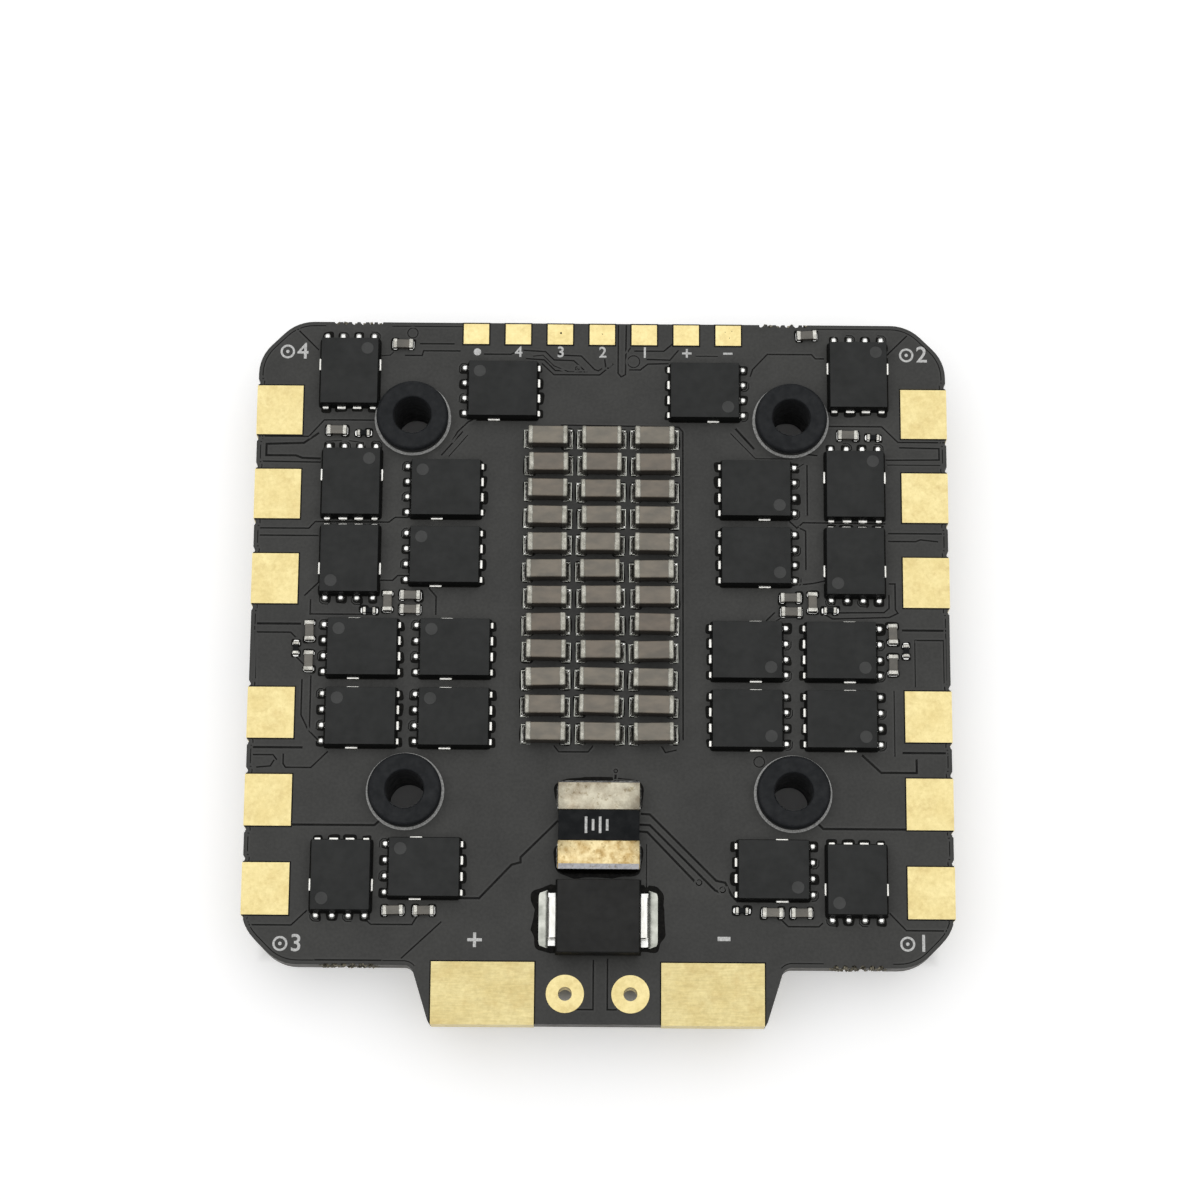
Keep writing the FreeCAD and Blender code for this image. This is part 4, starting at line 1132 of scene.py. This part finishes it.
def chip_parts(bodies, ends, joints, spot, size, cap, body_ink, rounding, spread):
    """A chip on its two lands: a body, two rounded metal ends and solder up each end."""
    length, width, height = size
    large = length > 2.5
    inner = (length - 1.4 * cap, width - 0.06, height - 0.04)
    inner = block(inner, rounding * 0.8, 3, spare_base=False)
    bodies.add(inner, spot @ at(0, 0, 0.03), body_ink)
    for side in SIDES:
        shift = side * (length - cap) / 2
        cover = block((cap, width + 0.02, height), rounding, 3, spare_base=False)
        ends.add(cover, spot @ at(shift, 0, 0.03), CHIP_END if large else SMALL_END)
        away = spot @ at(0, 0, 0, 0 if side > 0 else 180)
        wall = away @ at(length / 2 - 0.03, 0, 0)
        reach = spread * dice.uniform(0.87, 1.13)
        if large:
            across = width * dice.uniform(0.96, 1.04)
            framed_land(joints, away, length / 2 - cap, length / 2 + reach, across)
            joints.add(wick(reach - 0.02, width * 0.94, height * dice.uniform(0.3, 0.55)), wall, FILLET)
        else:
            land(joints, away @ at((length + reach - cap) / 2, 0, 0), cap + reach, width)
            joints.add(wick(reach + 0.06, width * 0.98, height * dice.uniform(0.5, 0.8)), wall, SOLDER)
        for front in SIDES:
            skirt = spot @ at(shift, front * (width / 2 - 0.02), 0, 90 * front)
            joints.add(wick(0.1 if large else 0.07, cap * 0.9, height * 0.2, 8, 5), skirt, SOLDER)


def capacitor_bank():
    """The large capacitors' bodies, metal ends, lands and solder."""
    ends = Build("column_ends", [CHIP_END], "capacitor_ends")
    joints = Build("column_solder", [SOLDER, FLUX_AND_PAINTED_SHADE, FILLET, FOOT], "tinned_leads")
    cap_size = solids("column_capacitor_ends")[0][1]
    for side in ("left", "middle", "right"):
        node = f"{side}_column_capacitors"
        bodies = Build(f"{side}_capacitors", [CERAMIC], "capacitor_ceramic")
        for middle, size in solids(node):
            x = middle.x + dice.uniform(-0.07, 0.07)
            y = middle.y + dice.uniform(-0.05, 0.05)
            spot = at(x, y, TOP, dice.gauss(0, 0.7))
            whole = (size.x + 2 * cap_size.x, cap_size.y - 0.09, cap_size.z * dice.uniform(0.91, 0.95))
            cap = cap_size.x * dice.uniform(0.8, 1.05)
            chip_parts(bodies, ends, joints, spot, whole, cap, CERAMIC, 0.14, 0.31)
        bodies.finish(node)
    ends.finish("column_capacitor_ends")
    joints.finish()


def small_chips():
    """The small capacitors and resistors of both faces, with their ends and solder."""
    caps = Build("small_capacitors", [CERAMIC_SMALL], "capacitor_ceramic")
    resistors = Build("small_resistors", [COAT], "resistor_coat")
    ends = Build("small_chip_ends", [SMALL_END], "capacitor_ends")
    joints = Build("small_chip_solder", [SOLDER, FLUX_AND_PAINTED_SHADE], "tinned_leads")
    for node, build, ink, cap, extra, spread in (
        ("chip_capacitors", caps, CERAMIC_SMALL, 0.32, 0.0, 0.05),
        ("chip_resistors", resistors, COAT, 0.24, 0.02, 0.13),
    ):
        for middle, size in solids(node):
            long_x = size.x > size.y
            length = max(size.x, size.y) + (0.6 if node == "chip_capacitors" else 0.44)
            width = min(size.x, size.y) + extra
            z, flip = face_of(middle)
            turn = (0 if long_x else 90) + dice.gauss(0, 1.2)
            spot = at(middle.x, middle.y, z, turn) @ flip
            whole = (length, width, (size.z + extra) * dice.uniform(0.9, 0.97))
            chip_parts(build, ends, joints, spot, whole, cap, ink, 0.05, spread)
    caps.finish("chip_capacitors")
    resistors.finish("chip_resistors")
    ends.finish("chip_ends")
    joints.finish()


# ---------------------------------------------------------------- shunt and surge diode


def sloped_bar(length, width, height, slope, fall):
    """Bar along X whose top falls away in a shallow slope towards +Y."""
    half, soft = width / 2, 0.05
    front = [(-half, 0), (half, 0), (half, height - fall), (half - slope, height)]
    front += [(-half + soft, height), (-half, height - soft)]
    middle = Vector((0, height / 2))
    rings = []
    end = length / 2
    for x, shrink in ((-end, soft), (soft - end, 0), (end - soft, 0), (end, soft)):
        ring = []
        for point in front:
            out = Vector(point) - middle
            spot = middle + out * (1 - shrink / out.length)
            ring.append((x, spot.x, max(0.0, spot.y)))
        rings.append(ring)
    return loft(rings)


def capped_slope(length, width, height, slope, fall):
    """Thin duller skin on the slope of a terminal."""
    half, skin = width / 2, 0.004
    edge = [(half - slope + 0.02, height - 0.02), (half - 0.02, height - fall - 0.02)]
    edge += [(half + skin, height - fall + skin), (half - slope, height + skin)]
    return loft([[(x, *point) for point in edge] for x in (-length / 2 + 0.05, length / 2 - 0.05)])


def shunt():
    """The current shunt: its terminals, the coated strip with its marks, and its solder."""
    terminals = Build("shunt_ends", [SHUNT_GREY, SHUNT_WARM, SHUNT_EDGE], "shunt_metal")
    joints = Build("shunt_solder", [SOLDER, FLUX_AND_PAINTED_SHADE, FILLET], "tinned_leads")
    for middle, size in solids("shunt_terminals"):
        side = math.copysign(1, middle.y + 18.0)
        plate = SHUNT_GREY if side > 0 else SHUNT_WARM
        slope, fall = (0.1, 0.07) if side > 0 else (0.4, 0.09)
        spot = at(middle.x, middle.y, TOP, 0 if side > 0 else 180)
        terminals.add(sloped_bar(*size, slope, fall), spot, plate)
        terminals.add(capped_slope(*size, slope, fall), spot, SHUNT_EDGE)
        # The flux puddle is pushed out past each terminal's outer face, and the lower terminal's outer
        # wall gets dark flux instead of a fillet: this is flux, and also painted shade along that face.
        puddle = blot(size.x + 0.5, size.y + 0.7, 0.016, 0.22)
        joints.add(puddle, at(middle.x, middle.y + side * 0.18), FLUX_AND_PAINTED_SHADE)
        wall = at(middle.x, middle.y + side * (size.y / 2 - 0.02), TOP, 90 * side)
        joints.add(wick(0.26, size.x * 0.98, 0.6, 20, square=16), wall, FILLET if side > 0 else FLUX_AND_PAINTED_SHADE)
        for end in SIDES:
            wall = at(middle.x + end * (size.x / 2 - 0.02), middle.y, TOP, 0 if end > 0 else 180)
            joints.add(wick(0.12, size.y * 0.9, 0.35), wall, FILLET)
            lump = at(middle.x + end * size.x / 2, middle.y - side * size.y * 0.38, TOP)
            joints.add(dome(0.22, 0.32, 0.5), lump, SOLDER)
    terminals.finish("shunt_terminals")
    joints.finish()
    low, high = limits("shunt_strip")
    middle, size = extent("shunt_strip")
    strip = Build("shunt_bridge", [COAT, WHITE_INK], "shunt_coat")
    strip.add(block(tuple(size), 0.05, 2, spare_base=False), at(middle.x, middle.y, low.z))
    for x, tall in ((-1.0, 1.3), (-0.45, 0.9), (0.1, 1.3), (0.65, 0.9)):
        line = ((x, -tall / 2), (x, tall / 2))
        strip.add(ribbon(line, stroke_section(0.2)), at(middle.x, middle.y, high.z), WHITE_INK)
    strip.finish("shunt_strip")


def bent_strip(path, thick, width):
    """Metal strip bent along a path of (x, z) points, its bends rounded by the path's own steps."""
    rings = []
    for index, (x, z) in enumerate(path):
        before = path[max(0, index - 1)]
        after = path[min(len(path) - 1, index + 1)]
        run = Vector((after[0] - before[0], after[1] - before[1])).normalized()
        out = Vector((-run.y, run.x)) * thick / 2
        ring = []
        for side, half in ((1, -1), (1, 1), (-1, 1), (-1, -1)):
            ring.append((x + out.x * side, half * width / 2, z + out.y * side))
        rings.append(ring)
    return loft(rings)


def rounded_path(corners, radius, steps=5):
    """Corners of a path, each replaced by a short arc."""
    made = [corners[0]]
    for before, corner, after in zip(corners, corners[1:], corners[2:]):
        here = Vector(corner)
        back = (Vector(before) - here).normalized() * radius
        ahead = (Vector(after) - here).normalized() * radius
        for step in range(steps + 1):
            t = step / steps
            point = here + back * (1 - t) ** 2 + ahead * t ** 2
            made.append(tuple(point))
    made.append(corners[-1])
    return made


def surge_diode():
    """The clamp diode's two-part body, its bent leads and its solder."""
    middle, size = extent("surge_diode")
    lead_low, lead_high = limits("surge_diode_leads")
    reach = lead_high.x
    belt = middle.z - TOP
    body = Build("diode_case", [DIODE_MOULD], "diode_mould")
    half = block((size.x - 0.2, size.y + 0.08, size.z / 2), 0.09, 3, draft=0.13)
    body.add(half, at(middle.x, middle.y, middle.z))
    body.add(half, at(middle.x, middle.y, middle.z) @ FLIP)
    body.finish("surge_diode")
    leads = Build("diode_leads", [LEAD], "tinned_leads")
    joints = Build("diode_solder", [SOLDER, FLUX_AND_PAINTED_SHADE, FOOT], "tinned_leads")
    thick = 0.22
    for side in SIDES:
        outer = reach - thick / 2
        corners = (
            (size.x / 2 - 0.4, belt - thick / 2),
            (outer, belt - thick / 2),
            (outer, thick / 2 + 0.03),
            (size.x / 2 - 1.3, thick / 2 + 0.03),
        )
        strip = bent_strip(rounded_path(corners, 0.13), thick, lead_high.y - lead_low.y)
        leads.add(strip, at(0, middle.y, TOP, 0 if side > 0 else 180))
        foot = side * 3.95
        joints.add(blot(2.8, 5.1, 0.03, 0.45), at(side * 3.72, middle.y), FLUX_AND_PAINTED_SHADE)
        joints.add(dome(1.9, 4.5, 0.05, 4, 32, 9.0), at(foot - side * 0.3, middle.y), SOLDER)
        wall = at(side * (reach - 0.03), middle.y, TOP + 0.02, 0 if side > 0 else 180)
        joints.add(wick(0.74, 4.5, 0.3, 24, square=16), wall, FOOT)
    leads.finish("surge_diode_leads")
    joints.finish()


# ---------------------------------------------------------------- grommets


def grommets():
    """Rubber bushes with soft lips, a rounded mouth and a neck in the board's hole."""
    for motor in range(1, 5):
        node = f"motor_{motor}_grommet"
        low, high = limits(node)
        middle, wide = (low + high) / 2, (high.x - low.x) / 2
        bore, neck, mouth, lip = 1.5, 2.08, 0.16, 0.34
        profile = [(bore, 0.3), (bore, high.z - mouth)]
        profile += [
            (bore + mouth - mouth * math.cos(turn), high.z - mouth + mouth * math.sin(turn))
            for turn in (0.4, 0.8, 1.2, 1.57)
        ]
        profile += [
            (wide - lip + lip * math.sin(turn), high.z - lip + lip * math.cos(turn))
            for turn in (0.0, 0.3, 0.6, 0.9, 1.2, 1.5)
        ]
        profile += [(wide, TOP + 0.55), (wide - 0.05, TOP + 0.3), (wide - 0.16, TOP + 0.01)]
        profile += [(neck, TOP + 0.01), (neck, UNDER - 0.01)]
        profile += [(wide - 0.16, UNDER - 0.01), (wide, UNDER - 0.3)]
        profile += [
            (wide - lip + lip * math.cos(turn), lip - lip * math.sin(turn))
            for turn in (0.0, 0.4, 0.8, 1.2, 1.57)
        ]
        profile += [(bore + 0.3, 0.0), (bore + 0.08, 0.08)]
        bush = Build(f"motor_{motor}_bush", [RUBBER], "grommet_rubber")
        bush.add(lathe(list(reversed(profile)), 72), at(middle.x, middle.y, 0.0))
        bush.finish(node)


# ---------------------------------------------------------------- underside


def flat_package(build, spot, size, per_side, pitch):
    """Leadless package: a bevelled body with a row of metal toes along each side."""
    build.add(block(size, 0.05, 2), spot, CHIP_MOULD)
    for quarter in range(4):
        half = (size[0] if quarter % 2 == 0 else size[1]) / 2
        for index in range(per_side):
            along = (index - (per_side - 1) / 2) * pitch
            toe = spot @ at(0, 0, 0, 90 * quarter) @ at(half - 0.02, along, 0)
            build.add(block((0.1, pitch * 0.5, 0.2), 0.015, 1), toe, LEAD)
            build.add(wick(0.18, pitch * 0.56, 0.13, 6, 4), toe, SOLDER)
    corner = spot @ at(-size[0] / 2 + 0.55, size[1] / 2 - 0.55, size[2] - 0.004)
    dimple = ((0.0, 0.0), (0.2, 0.0), (0.19, 0.012), (0.17, 0.007), (0.0, 0.006))
    build.add(lathe(dimple, 24), corner, MARK)


def underside_chips():
    """Controllers, gate drivers and regulator as leadless packages, and the leaded amplifier."""
    inks = [CHIP_MOULD, LEAD, SOLDER, MARK]
    for node, name, per_side, pitch in (
        ("motor_controllers", "controller_packages", 8, 0.5),
        ("gate_drivers", "driver_packages", 6, 0.5),
        ("voltage_regulator", "regulator_package", 4, 0.6),
    ):
        build = Build(name, inks, "chip_mould")
        for middle, size in solids(node):
            spot = at(middle.x, middle.y, UNDER) @ FLIP
            flat_package(build, spot, tuple(size), per_side, pitch)
        build.finish(node)
    middle, size = extent("current_amplifier")
    build = Build("amplifier_package", inks, "chip_mould")
    spot = at(middle.x, middle.y, UNDER) @ FLIP
    case = block((size.x, size.y, size.z - 0.08), 0.05, 2, draft=0.06)
    build.add(case, spot @ at(0, 0, 0.08), CHIP_MOULD)
    for side in SIDES:
        for step in (-1, 0, 1):
            corners = (
                (size.x / 2 - 0.1, 0.5),
                (size.x / 2 + 0.2, 0.5),
                (size.x / 2 + 0.34, 0.08),
                (size.x / 2 + 0.66, 0.08),
            )
            strip = bent_strip(rounded_path(corners, 0.1), 0.13, 0.36)
            spot_lead = spot @ at(0, step * 0.95, 0, 0 if side > 0 else 180)
            build.add(strip, spot_lead, LEAD)
            build.add(dome(0.62, 0.56, 0.09), spot_lead @ at(size.x / 2 + 0.56, 0, 0), SOLDER)
    build.finish("current_amplifier")


def supply_coil():
    """Shielded power inductor: a ferrite block with a potted core and two end clips."""
    middle, size = extent("regulator_coil")
    spot = at(middle.x, middle.y, UNDER) @ FLIP
    build = Build("supply_coil", [FERRITE, LEAD, CHIP_MOULD, SOLDER], "ferrite")
    build.add(block(tuple(size), 0.28, 4), spot, FERRITE)
    core = ((0.0, 0.0), (1.45, 0.0), (1.45, 0.02), (1.32, 0.035), (1.26, 0.012), (0.0, 0.012))
    build.add(lathe(core, 48), spot @ at(0, 0, size.z - 0.014), CHIP_MOULD)
    for side in SIDES:
        clip = spot @ at(0, side * (size.y / 2 - 0.32), 0)
        build.add(block((1.6, 0.72, 0.5), 0.05, 2), clip, LEAD)
        wall = spot @ at(0, side * (size.y / 2 + 0.02), 0, 90 * side)
        build.add(wick(0.34, 1.7, 0.34, 12), wall, SOLDER)
    build.finish("regulator_coil")


def signal_socket():
    """Anchor tabs, contact feet and solder of the cable socket; its housing is the frame's own."""
    low, high = limits("signal_socket_housing")
    build = Build("socket_anchors", [LEAD, SOLDER, FLUX_AND_PAINTED_SHADE], "tinned_leads")
    for side in SIDES:
        spot = at(side * (high.x - 0.02), low.y + 1.0, UNDER) @ FLIP
        build.add(block((0.5, 1.5, 0.9), 0.06, 2), spot, LEAD)
        build.add(dome(1.3, 2.0, 0.05, 3, 24, 5.0), spot, SOLDER)
        build.add(wick(0.5, 1.5, 0.5, 12), spot @ at(side * 0.22, 0, 0, 0 if side > 0 else 180), SOLDER)
    for middle, size in solids("signal_socket_contacts"):
        spot = at(middle.x, middle.y - size.y / 2 + 0.3, UNDER) @ FLIP
        build.add(dome(0.62, 1.1, 0.012), spot, FLUX_AND_PAINTED_SHADE)
        build.add(dome(0.5, 0.9, 0.1), spot, SOLDER)
    build.finish()


# ---------------------------------------------------------------- the frame's own nodes


def dress_frame():
    """Give each node that shows as it is its finished material."""
    looks = {
        "circuit_board": BOARD,
        "battery_positive_pad": GOLD_WORN,
        "battery_negative_pad": GOLD_WORN,
        "signal_pads": GOLD_CLEAN,
        "capacitor_lead_rings": GOLD,
        "signal_socket_housing": PLASTIC,
        "signal_socket_contacts": CONTACT,
    }
    looks.update({node: GOLD for node in PAD_NODES})
    for node, look in looks.items():
        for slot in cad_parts[node].material_slots:
            slot.material = look


# ---------------------------------------------------------------- the studio


def floor():
    """Pale ground that glows a little as painted light, except under the board, where painted shadow makes
    it a soft dark grey.
    """
    look = Look("floor_painted_glow_and_shadow", Emission_Color=(1, 1, 1, 1))
    body = look.beyond(0, -2.75, 27.9, 26.1)
    tab = look.beyond(0, -20.0, 11.0, 13.4)
    nearest = look.math("MINIMUM", body, tab)
    # Mask for the painted light and shadow: 0 under the board, 1 clear of it.
    inside = look.math("MULTIPLY_ADD", nearest, 0.1, 0.5)
    # painted light: the floor glows clear of the board
    look.link(look.ramp(inside, 0.0, 0.36, 0.15, 0.43), look.shader.inputs["Emission Strength"])
    pale = look.ramp(look.noise(40.0), (0.86, 0.86, 0.86), (0.88, 0.88, 0.88))
    # painted shadow: the base colour falls to mid grey under the board
    look.colour(look.mix(look.ramp(inside, 0.0, 1.0, 0.15, 0.43), (0.5, 0.5, 0.5), pale))
    look.roughness(look.ramp(look.noise(20.0), 0.75, 0.85))
    mesh = bpy.data.meshes.new("floor")
    # 5 m square, a hair below the grommets' feet
    corners = [(x, y, -0.00002) for x, y in rectangle(0, 0, 5, 5)]
    mesh.from_pydata(corners, [], [(0, 1, 2, 3)])
    mesh.materials.append(look.material)
    piece = bpy.data.objects.new("floor", mesh)
    bpy.context.scene.collection.objects.link(piece)


def light(name, spot, aim, size, power):
    """White rectangular lamp, aimed at a point, with its sizes and places in millimetres."""
    lamp = bpy.data.lights.new(name, "AREA")
    lamp.shape = "RECTANGLE"
    lamp.size, lamp.size_y = (part * MM for part in size)
    lamp.energy = power
    piece = bpy.data.objects.new(name, lamp)
    piece.location = Vector(spot) * MM
    piece.rotation_euler = (Vector(aim) - Vector(spot)).to_track_quat("-Z", "Y").to_euler()
    bpy.context.scene.collection.objects.link(piece)


def studio():
    light("sky_panel", (0, 70, 330), (0, 10, 0), (760, 760), 2.05)
    light("fill", (-260, -60, 260), (0, 0, 0), (200, 200), 0.05)
    world = bpy.data.worlds.new("studio")
    world.use_nodes = True
    world.node_tree.nodes["Background"].inputs["Color"].default_value = (1, 1, 1, 1)
    world.node_tree.nodes["Background"].inputs["Strength"].default_value = 0.14
    bpy.context.scene.world = world
    bpy.context.scene.view_settings.view_transform = "Standard"


def camera():
    """Camera above the battery tab, tilted 13 degrees from straight down."""
    turns = (-0.2318, 0.0005, -0.0073)
    drift = Vector((0.033, -0.3073, -254.2548))
    focal_ratio = 2.659
    about_x, about_y, about_z = (
        Matrix.Rotation(turn, 3, axis) for turn, axis in zip(turns, "XYZ")
    )
    pose = (about_z @ about_y @ about_x).transposed()
    lens = bpy.data.cameras.new("camera")
    lens.sensor_width = 36
    lens.lens = 36 * focal_ratio
    lens.clip_start = 0.01
    piece = bpy.data.objects.new("camera", lens)
    spot = (pose @ -drift + Vector((0, 0, TOP))) * MM
    piece.matrix_world = Matrix.Translation(spot) @ pose.to_4x4()
    bpy.context.scene.collection.objects.link(piece)
    bpy.context.scene.camera = piece


camera()
studio()
floor()
dress_frame()
copper_relief()
pad_outlines()
torn_edges()
pad_specks()
print_marks()
for motor_number in range(1, 5):
    transistors(motor_number)
capacitor_bank()
small_chips()
shunt()
surge_diode()
grommets()
underside_chips()
supply_coil()
signal_socket()
